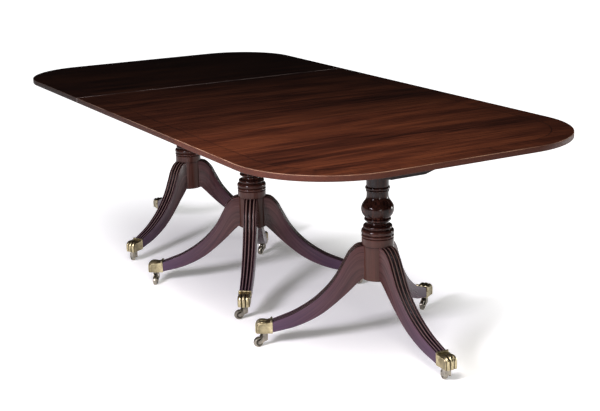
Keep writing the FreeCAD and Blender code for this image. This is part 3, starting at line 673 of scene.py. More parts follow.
# The tone at the near and the far end of each section, partly painted shade of the light's falloff,
# and how far its arrises at a joint are painted pale, as rubbed wear and a painted highlight
SECTION_TONES_AND_FALLOFF_SHADE = {"near": (0.80, 0.86), "middle": (0.66, 0.26), "far": (0.18, 0.16)}
JOINT_ARRIS_WEAR_AND_HIGHLIGHT = {"near": 0.0, "middle": 0.15, "far": 1.0}


def mitred_normals(outline):
    """Outward directions at the corners of a closed outline, long enough to keep its sides parallel."""
    side = np.roll(outline, -1, 0) - outline
    side /= np.linalg.norm(side, axis=1)[:, None]
    normal = np.stack([side[:, 1], -side[:, 0]], 1)
    before = np.roll(normal, 1, 0)
    mitre = (normal + before) / (1 + (normal * before).sum(1))[:, None]
    x, y = outline.T
    area = (x * np.roll(y, -1) - np.roll(x, -1) * y).sum()
    return mitre * np.sign(area)


def board(name, outline, share, tone, joint_arris_wear_and_highlight):
    """The outline carried up the edge profile, drawn in by ARRIS (1 - sin) below and above."""
    quarter = np.linspace(0, pi / 2, ARRIS_STEPS)
    drawn_in = ARRIS * np.concatenate([1 - np.sin(quarter), 1 - np.cos(quarter)])
    rise = np.concatenate([1 - np.cos(quarter), np.sin(quarter) - 1]) * ARRIS
    base = np.repeat([TOP_UNDERSIDE, TOP_HEIGHT], ARRIS_STEPS)
    plan = outline[None] - mitred_normals(outline)[None] * (drawn_in[:, None] * share[None])[..., None]
    height = base[:, None] + rise[:, None] * share[None]
    points = np.concatenate([plan, height[..., None]], 2)
    rows, columns = height.shape
    row = np.arange(rows)
    on_edge = np.repeat((row > 1) & (row < rows - 2), columns).astype(float)
    under = np.repeat(row == 0, columns).astype(float)
    # Tone from the section's near to its far end: partly its own wood, partly painted shade of the falloff
    reach = (outline[:, 1] - outline[:, 1].min()) / np.ptp(outline[:, 1])
    tones_and_falloff_shade = np.tile(tone[0] + (tone[1] - tone[0]) * reach, rows)
    # Share of the painted highlight and wear on each arris: full on the rim, less at a joint
    arris_wear_and_highlight_share = np.where(share == 1, 1.0, joint_arris_wear_and_highlight)
    arris = (((row > ARRIS_STEPS) & (row < rows - 1))[:, None] * arris_wear_and_highlight_share[None]).reshape(-1)
    marks = {"edge": on_edge, "under": under, "tone": tones_and_falloff_shade, "arris": arris}
    return new_piece(name, points, tube_faces(rows, columns), **marks)


for unit, (outline, share) in outlines.items():
    made = board(f"{unit}_board", outline, share, SECTION_TONES_AND_FALLOFF_SHADE[unit], JOINT_ARRIS_WEAR_AND_HIGHLIGHT[unit])
    dress(made, top_finish, f"{unit}_unit", f"{unit}_top")
print("boards:", list(outlines), "with arrises of", ARRIS)

# %% [markdown]
# ## The turned columns
# A turner cuts beads, coves and fillets with a few chisel sweeps, so most of the profile is a chain of
# short strokes: straight, round like a bead, or hollow like a cove. The bulb and the neck are one long
# sweep, so they are a smooth curve through a few measured points. Spinning the chain round the axis
# gives the surface. The same function later turns casters and rolls.

# %% Strokes, sweeps and turning
TURN_STEPS = 96


def stroke(start, end, swell=0.0, count=2):
    """Points from start to end that swell sideways like half an ellipse; a negative swell is a cove."""
    share = np.linspace(0, 1, count)[:, None]
    start, end = np.array(start, float), np.array(end, float)
    run = end - start
    sideways = np.array([run[1], -run[0]]) / np.linalg.norm(run)
    return start + share * run + sideways * swell * np.sqrt(1 - (2 * share - 1) ** 2)


def smooth_curve(knots, shares):
    """A curve through the knots, at shares of its length: cubic spans whose slopes look to both sides."""
    knots = np.array(knots, float)
    length = np.concatenate([[0], np.cumsum(np.linalg.norm(np.diff(knots, axis=0), axis=1))])
    slope = np.gradient(knots, length, axis=0)
    at = np.asarray(shares) * length[-1]
    span = np.clip(np.searchsorted(length, at, side="right") - 1, 0, len(knots) - 2)
    gap = (length[span + 1] - length[span])[:, None]
    t = (at - length[span])[:, None] / gap
    start = (2 * t**3 - 3 * t**2 + 1) * knots[span] + (t**3 - 2 * t**2 + t) * gap * slope[span]
    end = (3 * t**2 - 2 * t**3) * knots[span + 1] + (t**3 - t**2) * gap * slope[span + 1]
    return start + end


def turned(profile, steps=TURN_STEPS):
    """A profile of (radius, height) spun round Z, with flat ends, as points and faces."""
    angle = np.linspace(0, 2 * pi, steps, endpoint=False)
    radius, height = profile[:, :1], profile[:, 1:]
    level = np.broadcast_to(height, (len(profile), steps))
    points = np.stack([radius * np.cos(angle), radius * np.sin(angle), level], 2)
    return points.reshape(-1, 3), tube_faces(len(profile), steps)


print("turning steps:", TURN_STEPS)

# %% Profile of a column
DRUM_RADIUS = 0.054
DRUM_FOOT, DRUM_LINE, DRUM_TOP = 0.238, 0.354, 0.380
BULB_STEPS = 40
BULB_RADII = (0.0412, 0.0436, 0.0508, 0.0544, 0.0553, 0.0536, 0.0482, 0.0412, 0.0377, 0.0367, 0.0367)
BULB_HEIGHTS = (0.4474, 0.4508, 0.4610, 0.4706, 0.4800, 0.4900, 0.4995, 0.5095, 0.5175, 0.5270, 0.5372)
block_low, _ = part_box("near_head_block")
# A stroke's start and end as (radius, height), its swell, and its number of points
BELOW_BULB = (
    ((0.002, DRUM_FOOT - 0.004), (DRUM_RADIUS - 0.0015, DRUM_FOOT - 0.0008), 0.001, 9),
    ((DRUM_RADIUS - 0.0015, DRUM_FOOT - 0.0008), (DRUM_RADIUS, DRUM_FOOT + 0.001), 0.0004, 4),
    ((DRUM_RADIUS, DRUM_FOOT + 0.001), (DRUM_RADIUS, DRUM_LINE - 0.0012), 0, 12),
    ((DRUM_RADIUS, DRUM_LINE - 0.0010), (DRUM_RADIUS, DRUM_LINE + 0.0010), -0.0007, 5),
    ((DRUM_RADIUS, DRUM_LINE + 0.0012), (DRUM_RADIUS, DRUM_TOP - 0.001), 0, 4),
    ((DRUM_RADIUS, DRUM_TOP - 0.001), (0.0518, DRUM_TOP + 0.0008), 0.0004, 4),
    ((0.0512, 0.3815), (0.0512, 0.3916), 0.0038, 13),
    ((0.0508, 0.3922), (0.0503, 0.4090), 0.0050, 15),
    ((0.0470, 0.4100), (0.0462, 0.4110), 0, 2),
    ((0.0458, 0.4113), (0.0450, 0.4235), 0.0040, 13),
    ((0.0440, 0.4240), (0.0338, 0.4314), -0.0022, 9),
    ((0.0338, 0.4320), (0.0408, 0.4376), -0.0014, 7),
    ((0.0410, 0.4383), (0.0410, 0.4468), 0.0042, 11),
)
OVER_BULB = (
    ((0.0383, 0.5378), (0.0383, 0.5440), 0.0008, 7),
    ((0.0372, 0.5446), (0.0372, 0.5556), 0.0043, 13),
    ((0.0368, 0.5560), (0.0376, 0.5600), 0, 2),
    ((0.0376, 0.5604), (0.0376, block_low.z), 0, 4),
)
bulb = smooth_curve(np.stack([BULB_RADII, BULB_HEIGHTS], 1), np.linspace(0, 1, BULB_STEPS))
below, over = ([stroke(*row) for row in rows] for rows in (BELOW_BULB, OVER_BULB))
profile = np.concatenate([*below, bulb, *over])
print("profile points:", len(profile), "up to", round(float(profile[-1, 1]), 4))

# %% Columns
# Heights of the quirks between the mouldings, painted dark there as shade; their half-width and darkness
QUIRKS = (DRUM_LINE, 0.3812, 0.3919, 0.4104, 0.4238, 0.4380, 0.4470, 0.5375, 0.5443)
QUIRK_REACH, QUIRK_SHADE = 0.0016, 0.85
# How far the painted light reaches, from the drum up to the mouldings in the top's shadow
LIT_HEIGHTS, LIT_SHARES = (DRUM_TOP, 0.392, 0.424), (0.6, 0.4, 0)
COLUMN_GRAIN_STEP = np.array([0.7, 0, 0])

column_points, column_faces = turned(profile)
to_quirk = np.abs(profile[:, 1:] - np.array(QUIRKS)).min(1)
column_quirk_shade = np.repeat(QUIRK_SHADE * np.clip(1 - to_quirk / QUIRK_REACH, 0, 1), TURN_STEPS)
# Painted light on the drum, fading out up the mouldings
column_painted_light = np.repeat(np.interp(profile[:, 1], LIT_HEIGHTS, LIT_SHARES), TURN_STEPS)
for number, unit in enumerate(UNITS):
    placed = turn_about(column_points, 0, axes[unit])
    fibres = column_points[:, [2, 0, 1]] + COLUMN_GRAIN_STEP * number
    marks = {"grain": fibres, "hollow": column_quirk_shade, "bloom": column_painted_light}
    column = new_piece(f"{unit}_turned_column", placed, column_faces, **marks)
    dress(column, shaded_column_wood, f"{unit}_unit", f"{unit}_column")
print("column points:", len(column_points))

# %% [markdown]
# ## The sabre legs
# A leg is cut from one plank: in side view two smooth curves run from drum to toe. Three reeds are
# worked along its upper face, and a small bead runs along each upper corner. So one section is carried
# along the pair of curves. A section point is a place across the leg and a depth below the upper curve,
# and the depth is measured along the line that joins the two curves.

# %% Leg curves
ROOT_THICKNESS, TOE_THICKNESS = 0.052, 0.042
CAP_BEHIND_STEM = 0.030
ROOT_TOP, ROOT_BOTTOM = 0.356, 0.2395
TOE_TOP, TOE_BOTTOM = 0.0905, 0.0530
TOE_RADIUS = FOOT_REACH - CAP_BEHIND_STEM
# Shares of the way out to the toe, with the share of the drop that is left there
TOP_REACH = (0, 0.04, 0.125, 0.21, 0.296, 0.467, 0.727, 1)
TOP_DROP = (1, 0.992, 0.915, 0.745, 0.568, 0.34, 0.131, 0)
UNDER_REACH = (0, 0.05, 0.148, 0.253, 0.467, 0.727, 1)
UNDER_DROP = (1, 0.925, 0.763, 0.602, 0.325, 0.118, 0)
# The last points of both curves lie inside the drum and inside the cap
IN_DRUM, IN_CAP = DRUM_RADIUS * 0.75, TOE_RADIUS + 0.004
SPIGOT_TOP, SPIGOT_BOTTOM = TOE_TOP - 0.0012, TOE_BOTTOM - 0.0006
STATIONS = np.concatenate([[0, 0.003, 0.007, 0.012], np.linspace(0.02, 1, 58)])


def leg_line(reach, drop, root, toe, spigot):
    """Shares of reach and drop as a smooth line of (radius, height), carried into drum and cap."""
    radius = DRUM_RADIUS + np.array(reach) * (TOE_RADIUS - DRUM_RADIUS)
    line = smooth_curve(np.stack([radius, toe + np.array(drop) * (root - toe)], 1), STATIONS)
    return np.concatenate([[[IN_DRUM, root]], line, [[IN_CAP, spigot]]])


upper = leg_line(TOP_REACH, TOP_DROP, ROOT_TOP, TOE_TOP, SPIGOT_TOP)
under = leg_line(UNDER_REACH, UNDER_DROP, ROOT_BOTTOM, TOE_BOTTOM, SPIGOT_BOTTOM)
leg_depth = np.linalg.norm(under - upper, axis=1)
steps = np.linalg.norm(np.diff((upper + under) / 2, axis=0), axis=1)
leg_along = np.concatenate([[0], np.cumsum(steps)])
print("leg length:", round(float(leg_along[-1]), 3))

# %% Reeded section
REED_COUNT = 3
REED_DEPTH = 0.0056
REED_STEPS = 13
REED_FILL, REED_ROUND = 0.97, 0.985
CREST_TO_GROOVE = 3.6
BEAD_RADIUS = 0.0016
BEAD_STEPS = 9
BEAD_SINK = 1.6
# The bead's quirk painted dark as shade, and its crest painted pale as a highlight
BEAD_QUIRK, BEAD_CREST, CREST_HALF, CREST_HIGHLIGHT_SHARE = 2.5, 1.5, 0.3, -0.6
FOOT_CHAMFER = 0.0016
in_reed = np.linspace(-1, 1, REED_STEPS)


def reeds(reed_half, depth):
    """Reeds side by side: places across, and depths that grow as depth x (1 - root of (1 - x squared))."""
    middles = (np.arange(REED_COUNT) * 2 - (REED_COUNT - 1)) * reed_half
    across = (middles[:, None] + in_reed[None] * reed_half * REED_FILL).reshape(-1)
    return across, np.tile(depth * (1 - np.sqrt(1 - (REED_ROUND * in_reed) ** 2)), REED_COUNT)


def round_section(over_reeds, on_bead, at_foot, side=1):
    """Values round the section: reeds, bead and foot, then foot and bead of the other side."""
    return np.concatenate([over_reeds, on_bead, at_foot, side * at_foot[::-1], side * on_bead[::-1]])


half = TOE_THICKNESS / 2
reed_across, reed_sink = reeds((half - 2 * BEAD_RADIUS) / REED_COUNT, REED_DEPTH)
# Painted shade towards the grooves of the reeds, painted highlight on their crests
reed_shade_and_highlight = np.tile(np.clip(np.abs(in_reed) * CREST_TO_GROOVE - 1, -1, 1), REED_COUNT)
bead_turn = np.linspace(pi, 0, BEAD_STEPS)
bead_across = half - BEAD_RADIUS + BEAD_RADIUS * np.cos(bead_turn)
bead_sink = BEAD_RADIUS * (BEAD_SINK - np.sin(bead_turn))
on_crest = np.abs(bead_turn - BEAD_CREST) < CREST_HALF
bead_shade_and_highlight = np.where(bead_turn > BEAD_QUIRK, 1.0, np.where(on_crest, CREST_HIGHLIGHT_SHARE, 0.0))
foot_across = np.array([half, half - FOOT_CHAMFER])
foot_sink = np.array([-FOOT_CHAMFER, 0])
section_across = round_section(reed_across, bead_across, foot_across, -1)
section_sink = round_section(reed_sink, bead_sink, foot_sink)
section_full = round_section(np.zeros(len(reed_across)), np.zeros(BEAD_STEPS), np.ones(2))
section_shade_and_highlight = round_section(reed_shade_and_highlight, bead_shade_and_highlight, np.zeros(2))
print("section points:", len(section_across))

# %% Legs
SEAM_REACH, SEAM_EDGE, SEAM_DARK = 0.0022, 0.1, 0.95
# How fast the painted violet sheen grows towards the toe
SHEEN_POWER = 1.5
LEG_GRAIN_STEP = np.array([0.83, 0.31, 0])


def leg_shape():
    """Upper curve plus (full x depth + sink) to the lower one, wider at root; painted shade and highlight."""
    down = (under - upper) / leg_depth[:, None]
    sink = section_full[None] * leg_depth[:, None] + section_sink[None]
    radius = upper[:, :1] + down[:, :1] * sink
    height = upper[:, 1:] + down[:, 1:] * sink
    to_root = (TOE_RADIUS - upper[:, :1]) / (TOE_RADIUS - DRUM_RADIUS)
    widen = 1 + np.clip(to_root, 0, 1) * (ROOT_THICKNESS / TOE_THICKNESS - 1)
    across = section_across[None] * widen
    points = np.stack([radius, across, height], 2)
    fibres = np.stack([np.broadcast_to(leg_along[:, None], sink.shape), across, sink], 2)
    seam = np.exp(-(((np.hypot(radius, across) - DRUM_RADIUS) / SEAM_REACH) ** 2))
    # On the leg: painted shade in grooves, painted highlight on crests, and a dark line at the drum
    hollow = np.where(seam > SEAM_EDGE, np.maximum(section_shade_and_highlight, SEAM_DARK * seam), section_shade_and_highlight)
    return points.reshape(-1, 3), tube_faces(*sink.shape), fibres.reshape(-1, 3), hollow.reshape(-1)


leg_points, leg_faces, leg_fibres, leg_shade_and_highlight = leg_shape()
leg_violet_sheen = np.repeat((leg_along / leg_along[-1]) ** SHEEN_POWER, len(section_across))
for number, foot in enumerate(feet):
    placed = turn_about(leg_points, foot["direction"], axes[foot["unit"]])
    fibres = leg_fibres + LEG_GRAIN_STEP * number
    marks = {"grain": fibres, "hollow": leg_shade_and_highlight, "bloom": leg_violet_sheen}
    leg = new_piece(f"{foot['name']}_sabre_leg", placed, leg_faces, **marks)
    dress(leg, leg_wood, f"{foot['unit']}_unit", f"{foot['name']}_leg")
print("leg points:", len(leg_points))

# %% [markdown]
# ## Brass toe caps
# A cap is a cast box. Across its rear edge lies a roll of three beads, then the top dips in a saddle and
# rises to a round nose, where three reeds grow out of it and run down the front. A strip is carried
# along that side view; how far a point of the strip sinks below it depends on its place across the
# reeds. Flat polygons close the sides, the rear and the bottom.

# %% Side view of a cap
CAP_LENGTH = 0.060
CAP_REAR, CAP_FRONT = TOE_RADIUS, TOE_RADIUS + CAP_LENGTH
CAP_BOTTOM, CAP_TOP = 0.050, 0.094
NOSE_RADIUS = 0.021
NOSE_STEPS = 18
# Points along the saddle, out from the cap's rear and down from its top
SADDLE = ((0, -0.0046), (0.009, -0.0050), (0.016, -0.0044), (0.026, -0.0012), (0.034, -0.0001))
SADDLE_STEPS = 16
FRONT_FOOT, FRONT_EASE = 0.003, 0.0006


def cap_side_view():
    """Rear, saddle, nose arc and front as (radius, height), with outward directions from the slopes."""
    turn = np.linspace(pi / 2, 0, NOSE_STEPS)
    centre = np.array([CAP_FRONT - NOSE_RADIUS, CAP_TOP - NOSE_RADIUS])
    nose = centre + NOSE_RADIUS * np.stack([np.cos(turn), np.sin(turn)], 1)
    knots = np.concatenate([np.array(SADDLE) + [CAP_REAR, CAP_TOP], nose[:1]])
    top = smooth_curve(knots, np.linspace(0, 1, SADDLE_STEPS))
    front = [[CAP_FRONT, CAP_BOTTOM + FRONT_FOOT], [CAP_FRONT - FRONT_EASE, CAP_BOTTOM]]
    path = np.concatenate([top[:-1], nose, front])
    slope = np.gradient(path, axis=0)
    normal = np.stack([-slope[:, 1], slope[:, 0]], 1) / np.linalg.norm(slope, axis=1)[:, None]
    normal[0], normal[-1] = (0, 1), (1, 0)
    return path, normal


print("cap from", round(CAP_REAR, 3), "to", round(CAP_FRONT, 3), "out from the column")

# %% Box of a cap
CAP_HALF = 0.0225
LOBE_DEPTH = 0.0052
LOBE_DARK = (0.6, 0.95)
LOBES_START, LOBES_RUN = 0.011, 0.017
FRONT_BOW = 0.0035
LEDGE = 0.0010
LEDGE_DEPTH = 0.0085
LEDGE_SINK = LEDGE_DEPTH * np.array([0.6, 0.9, 1])
LEDGE_DARK = np.array([0, 0.2, 0.6])


def box_of_cap():
    """The strip of reeds over the side view, and flat faces round it; sink = reeds + bow, grown from 0."""
    path, normal = cap_side_view()
    lobes, lobe_sink = reeds((CAP_HALF - LEDGE) / REED_COUNT, LOBE_DEPTH)
    lobe_dark = np.tile(np.interp(np.abs(in_reed), LOBE_DARK, (0, 1)), REED_COUNT)
    ledge = np.array([CAP_HALF, CAP_HALF, CAP_HALF - LEDGE])
    across = np.concatenate([-ledge[::-1], lobes, ledge])
    bow = FRONT_BOW * (across / CAP_HALF) ** 2
    sink = np.concatenate([LEDGE_SINK[::-1], lobe_sink, LEDGE_SINK]) + bow
    dark = np.concatenate([LEDGE_DARK[::-1], lobe_dark, LEDGE_DARK])
    grow = np.clip((path[:, 0] - CAP_REAR - LOBES_START) / LOBES_RUN, 0, 1)
    grow = grow**2 * (3 - 2 * grow)
    strip = path[:, None] - normal[:, None] * (grow[:, None] * sink[None])[..., None]
    rows, columns = strip.shape[:2]
    sideways = np.broadcast_to(across, (rows, columns))
    points = np.stack([strip[..., 0], sideways, strip[..., 1]], 2).reshape(-1, 3)
    low = np.array([[CAP_REAR, across[0], CAP_BOTTOM], [CAP_REAR, across[-1], CAP_BOTTOM]])
    first_row = list(range(columns))
    last_row = list(range((rows - 1) * columns, rows * columns))
    left, right = rows * columns, rows * columns + 1
    faces = grid_faces(rows, columns)
    faces.append(list(range(0, rows * columns, columns)) + [left])
    faces.append(list(range(columns - 1, rows * columns, columns)) + [right])
    faces.append(first_row + [right, left])
    faces.append(last_row + [right, left])
    hollow = np.concatenate([(grow[:, None] * dark[None]).reshape(-1), [0, 0]])
    return np.concatenate([points, low]), faces, hollow


cap_box = box_of_cap()
print("faces of a cap's box:", len(cap_box[1]))

# %% Beads of a cap
ROLL_RADIUS = 0.0040
ROLL_REACH = CAP_HALF + 0.0014
ROLL_STEPS, ROLL_SIDES = 37, 24
ROLL_NECK, ROLL_END = 0.66, 0.4
ROLL_DARK = (0.66, 0.86)
ROLL_PLACE = (CAP_REAR + ROLL_RADIUS, CAP_TOP - 0.0018)
SIDE_BEAD_LENGTH, SIDE_BEAD_RADIUS, SIDE_BEAD_SIDES = 0.021, 0.0028, 16
SIDE_BEAD_TIP = ((0.0003, 0), (0.0026, 0.007), 0.0006, 6)
SIDE_BEAD_PLACE = (CAP_REAR + 0.0034, CAP_HALF - 0.0012, CAP_TOP - 0.002 - SIDE_BEAD_LENGTH)


def lying(points, x, z):
    """A turned shape laid along Y, with its axis at x and z."""
    return np.stack([points[:, 0] + x, points[:, 2], points[:, 1] + z], 1)


def rear_roll():
    """Three beads in a row: the radius swells like half an ellipse within each third of the length."""
    place = np.linspace(-1, 1, ROLL_STEPS)
    in_bead = np.mod((place + 1) / 2 * REED_COUNT, 1)
    swell = ROLL_NECK + (1 - ROLL_NECK) * np.sqrt(1 - (2 * in_bead - 1) ** 2)
    swell[[0, -1]] = ROLL_END
    points, faces = turned(np.stack([ROLL_RADIUS * swell, place * ROLL_REACH], 1), ROLL_SIDES)
    dark = np.repeat(np.interp(swell, ROLL_DARK, (1, 0)), ROLL_SIDES)
    return lying(points, *ROLL_PLACE), faces, dark


def side_bead(side):
    """A half-round bead that runs from the roll down the rear edge of a side and fades out."""
    profile = np.concatenate([stroke(*SIDE_BEAD_TIP), [[SIDE_BEAD_RADIUS, SIDE_BEAD_LENGTH]]])
    points, faces = turned(profile, SIDE_BEAD_SIDES)
    return points + np.array(SIDE_BEAD_PLACE) * [1, side, 1], faces, np.zeros(len(points))


cap_points, cap_faces, cap_hollow = join_shapes([cap_box, rear_roll(), side_bead(-1), side_bead(1)])
print("cap points:", len(cap_points))

# %% Toe caps
for unit in UNITS:
    shapes = [
        (turn_about(cap_points, foot["direction"], axes[unit]), cap_faces, cap_hollow)
        for foot in feet
        if foot["unit"] == unit
    ]
    points, faces, hollow = join_shapes(shapes)
    caps = new_piece(f"{unit}_cast_caps", points, faces, hollow=hollow)
    dress(caps, brass, f"{unit}_unit", f"{unit}_toe_caps")
    print(unit, "caps:", len(shapes))

# %% [markdown]
# ## Casters
# A caster fork hangs from a round plate under the cap. Its horn drops below the swivel, ends in a round
# heel, and sends an arm to the axle, so the wheel trails. The two cheeks are a curved outline given a
# thickness, and the plate, axle and wheel are turned. Each shape is made once, about the swivel axis,
# and then turned to the heading that the frame gives.

# %% Outline of a cheek
first_swivel = joints[f"{feet[0]['name']}_caster_swivel"]["pos_m"]
first_axle = joints[f"{feet[0]['name']}_caster_roll"]["pos_m"]
WHEEL_RADIUS = first_axle[2]
TRAIL = float(np.hypot(*np.subtract(first_axle, first_swivel)[:2]))
PLATE_BOTTOM = 0.046
EYE_RADIUS = 0.0065
EYE_TURN, HEEL_TURN = (75, -110), (-75, -180)
HEEL = (-0.0035, 0.0245)
HEEL_RADIUS = 0.0055
BACK, FRONT = HEEL[0] - HEEL_RADIUS, 0.0085
FRONT_PULL, ARM_PULL = (0.0095, 0.0290), (0.0085, 0.0170)
CHEEK_STEPS = 12


def sweep_between(start, pull, end, count):
    """A quadratic curve from start to end that leans towards the pull point."""
    t = np.linspace(0, 1, count)[:, None]
    return (1 - t) ** 2 * np.array(start) + 2 * t * (1 - t) * np.array(pull) + t**2 * np.array(end)


def arc(centre, radius, start, end, count):
    """Points on a circle from one angle to another."""
    turn = np.radians(np.linspace(start, end, count))
    return np.array(centre) + radius * np.stack([np.cos(turn), np.sin(turn)], 1)


def cheek_outline():
    """Down the hollow front to the eye, round it, back along the arm, round the heel and up the back."""
    eye = arc((TRAIL, WHEEL_RADIUS), EYE_RADIUS, *EYE_TURN, CHEEK_STEPS)
    heel = arc(HEEL, HEEL_RADIUS, *HEEL_TURN, CHEEK_STEPS)
    front = sweep_between((FRONT, PLATE_BOTTOM), FRONT_PULL, eye[0], CHEEK_STEPS)
    arm = sweep_between(eye[-1], ARM_PULL, heel[0], CHEEK_STEPS)
    return np.concatenate([front, eye[1:], arm[1:], heel[1:], [[BACK, PLATE_BOTTOM]]])


print("wheel radius:", WHEEL_RADIUS, "trail:", round(TRAIL, 4), "cheek points:", len(cheek_outline()))

# %% Plates, turned shapes and their places
SOFT_RIM = 0.0006


def plate_between(outline, inside, outside):
    """A flat outline in X and Z with a thickness along Y, its rims drawn in by SOFT_RIM."""
    centre = outline.mean(0)
    drawn = centre + (outline - centre) * (1 - SOFT_RIM / np.abs(outline - centre).max())
    step = np.sign(outside - inside) * SOFT_RIM
    flat = np.stack([drawn, outline, outline, drawn])
    level = np.array([inside, inside + step, outside - step, outside])
    across = np.broadcast_to(level[:, None], flat.shape[:2])
    points = np.stack([flat[..., 0], across, flat[..., 1]], 2).reshape(-1, 3)
    return points, tube_faces(*across.shape), np.zeros(len(points))


def turned_shape(profile, steps):
    """A turned piece as points, faces and an even hollow of 0."""
    points, faces = turned(profile, steps)
    return points, faces, np.zeros(len(points))


def both_ends(profile):
    """A profile that starts below the middle, followed by its mirror image above it."""
    return np.concatenate([profile, (profile * [1, -1])[::-1]])


def place_casters(kind, motion, points, faces, hollow):
    """One caster shape, turned to the heading of every foot and riding on the body for its motion."""
    for foot in feet:
        name = foot["name"]
        headed = turn_about(points, foot["heading"], foot["place"])
        made = new_piece(f"{name}_{kind}", headed, faces, hollow=hollow)
        dress(made, caster_brass, f"{name}_caster_{motion}", f"{name}_caster_{kind}")
    print(kind, "points:", len(points))


print("casters to place:", len(feet))

# %% Forks
# Turned ends stop this far off the axis, where a small flat polygon closes them
AXIS = 0.0004
CHEEK_INSIDE, CHEEK_OUTSIDE = 0.0076, 0.0106
CROWN_BOTTOM = 0.0428
CROWN_HALF = CHEEK_OUTSIDE - 0.0004
WEB_BACK, WEB_FRONT = BACK + 0.0004, -0.0025
WEB_BOTTOM, WEB_TOP = 0.0245, 0.0440
WEB_HALF = CHEEK_INSIDE + 0.0002
PLATE_RADIUS, PLATE_FLAT, PLATE_SWELL = 0.0142, 0.0138, 0.0008
PLATE_FOOT, PLATE_TOP = PLATE_BOTTOM - 0.0006, 0.0497
PLATE_STEPS, PLATE_SIDES = 7, 40
STEM_RADIUS, STEM_SIDES = 0.004, 24
STEM_FOOT, STEM_SHOULDER, STEM_TOP = PLATE_TOP - 0.0004, 0.076, 0.078
AXLE_REACH = CHEEK_OUTSIDE + 0.0008
AXLE_RADIUS, AXLE_DOME, AXLE_SWELL = 0.0026, 0.0012, 0.0004
AXLE_STEPS, AXLE_SIDES = 5, 20

crown = np.array([[BACK, PLATE_BOTTOM], [BACK, CROWN_BOTTOM], [FRONT, CROWN_BOTTOM], [FRONT, PLATE_BOTTOM]])
web = np.array([[WEB_BACK, WEB_TOP], [WEB_BACK, WEB_BOTTOM], [WEB_FRONT, WEB_BOTTOM], [WEB_FRONT, WEB_TOP]])
plate_low = [[AXIS, PLATE_FOOT], [PLATE_FLAT, PLATE_FOOT]]
plate_rim = stroke((PLATE_RADIUS, PLATE_BOTTOM), (PLATE_RADIUS, PLATE_TOP), PLATE_SWELL, PLATE_STEPS)
swivel_profile = np.concatenate([plate_low, plate_rim, [[PLATE_FLAT, PLATE_TOP], [AXIS, PLATE_TOP]]])
stem_wall = [[STEM_RADIUS, STEM_FOOT], [STEM_RADIUS, STEM_SHOULDER]]
stem_profile = np.array([[AXIS, STEM_FOOT], *stem_wall, [AXIS, STEM_TOP]])
axle_rim = (AXLE_RADIUS, -AXLE_REACH + AXLE_DOME)
axle_end = stroke((AXIS, -AXLE_REACH), axle_rim, AXLE_SWELL, AXLE_STEPS)
axle_points, axle_faces, axle_hollow = turned_shape(both_ends(axle_end), AXLE_SIDES)
fork_shape = join_shapes(
    [
        plate_between(cheek_outline(), CHEEK_INSIDE, CHEEK_OUTSIDE),
        plate_between(cheek_outline(), -CHEEK_INSIDE, -CHEEK_OUTSIDE),
        plate_between(crown, -CROWN_HALF, CROWN_HALF),
        plate_between(web, -WEB_HALF, WEB_HALF),
        turned_shape(swivel_profile, PLATE_SIDES),
        turned_shape(stem_profile, STEM_SIDES),
        (lying(axle_points, TRAIL, WHEEL_RADIUS), axle_faces, axle_hollow),
    ]
)
place_casters("fork", "swivelling", *fork_shape)

# %% Wheels
WHEEL_HALF = 0.007
WHEEL_STEPS = 64
BORE_RADIUS, HUB_RADIUS, HUB_SIDE = 0.00256, 0.0056, -WHEEL_HALF + 0.0002
DISH_START, DISH_END = (0.0062, -WHEEL_HALF + 0.0018), (0.0122, -WHEEL_HALF + 0.0020)
RIM = (0.0127, -WHEEL_HALF + 0.0004)
SHOULDER, SHOULDER_SWELL = (WHEEL_RADIUS - 0.0006, -WHEEL_HALF + 0.0022), 0.001
TREAD_HALF = 0.002
DISH_RADII, DISH_DARK = (0.0056, 0.0066, 0.0120, 0.0128), (0, 0.85, 0.85, 0)
half_wheel = np.concatenate(
    [
        stroke((BORE_RADIUS, HUB_SIDE), (HUB_RADIUS, HUB_SIDE)),
        stroke(DISH_START, DISH_END, count=3),
        stroke(RIM, SHOULDER, SHOULDER_SWELL, count=8),
        [[WHEEL_RADIUS, -TREAD_HALF]],
    ]
)
wheel_profile = both_ends(half_wheel)
wheel_points, wheel_faces = turned(wheel_profile, WHEEL_STEPS)
ring = np.arange(WHEEL_STEPS)
far_ring = ring + (len(wheel_profile) - 1) * WHEEL_STEPS
# A bore between the two end rings takes the place of the flat ends
bore = np.stack([ring, np.roll(ring, -1), np.roll(far_ring, -1), far_ring], 1).tolist()
wheel_hollow = np.repeat(np.interp(wheel_profile[:, 0], DISH_RADII, DISH_DARK), WHEEL_STEPS)
wheel_shape = (lying(wheel_points, TRAIL, WHEEL_RADIUS), wheel_faces[:-2] + bore, wheel_hollow)
place_casters("wheel", "rolling", *wheel_shape)

# %% [markdown]
# ## Pieces that keep their CAD shape
# Bearers, head blocks, tongues, clips, keepers, pins and screws are plain by nature, so their CAD
# meshes stay and only their finish changes.

# %% Finishes on CAD nodes
FINISH_OF_SLOT = {
    "carcase_wood": inner_wood,
    "aged_brass": brass,
    "screw_steel": steel,
    "mahogany": leg_wood,
}
slot_of_node = {part["node"]: part["material_slot"] for part in frame["record"]["subparts"]}
for node, thing in frame["nodes"].items():
    for material_slot in thing.material_slots:
        material_slot.material = FINISH_OF_SLOT[slot_of_node[node]]
print("CAD nodes with a finish:", len(frame["nodes"]))

# %% [markdown]
# ## Floor and light
# The floor is a wide white plane that fills the whole picture behind the table. Part of its white is a
# glow that only the camera and reflections see, so the rest of it can still show the table's shadow. A
# cool soft box on the left is the main light, and a small warm lamp hangs over the near end. Both fall
# off along the table, and the boards' tone adds a painted shade of that falloff, so the far end sinks
# into the dark. Low boxes in front and on the right reach the legs with hardly any sheen on the top, and
# a large weak lamp behind the camera softens the rest. The world is white to the camera and soft to matt
# surfaces, but dim in reflections, because a polished top would mirror it.

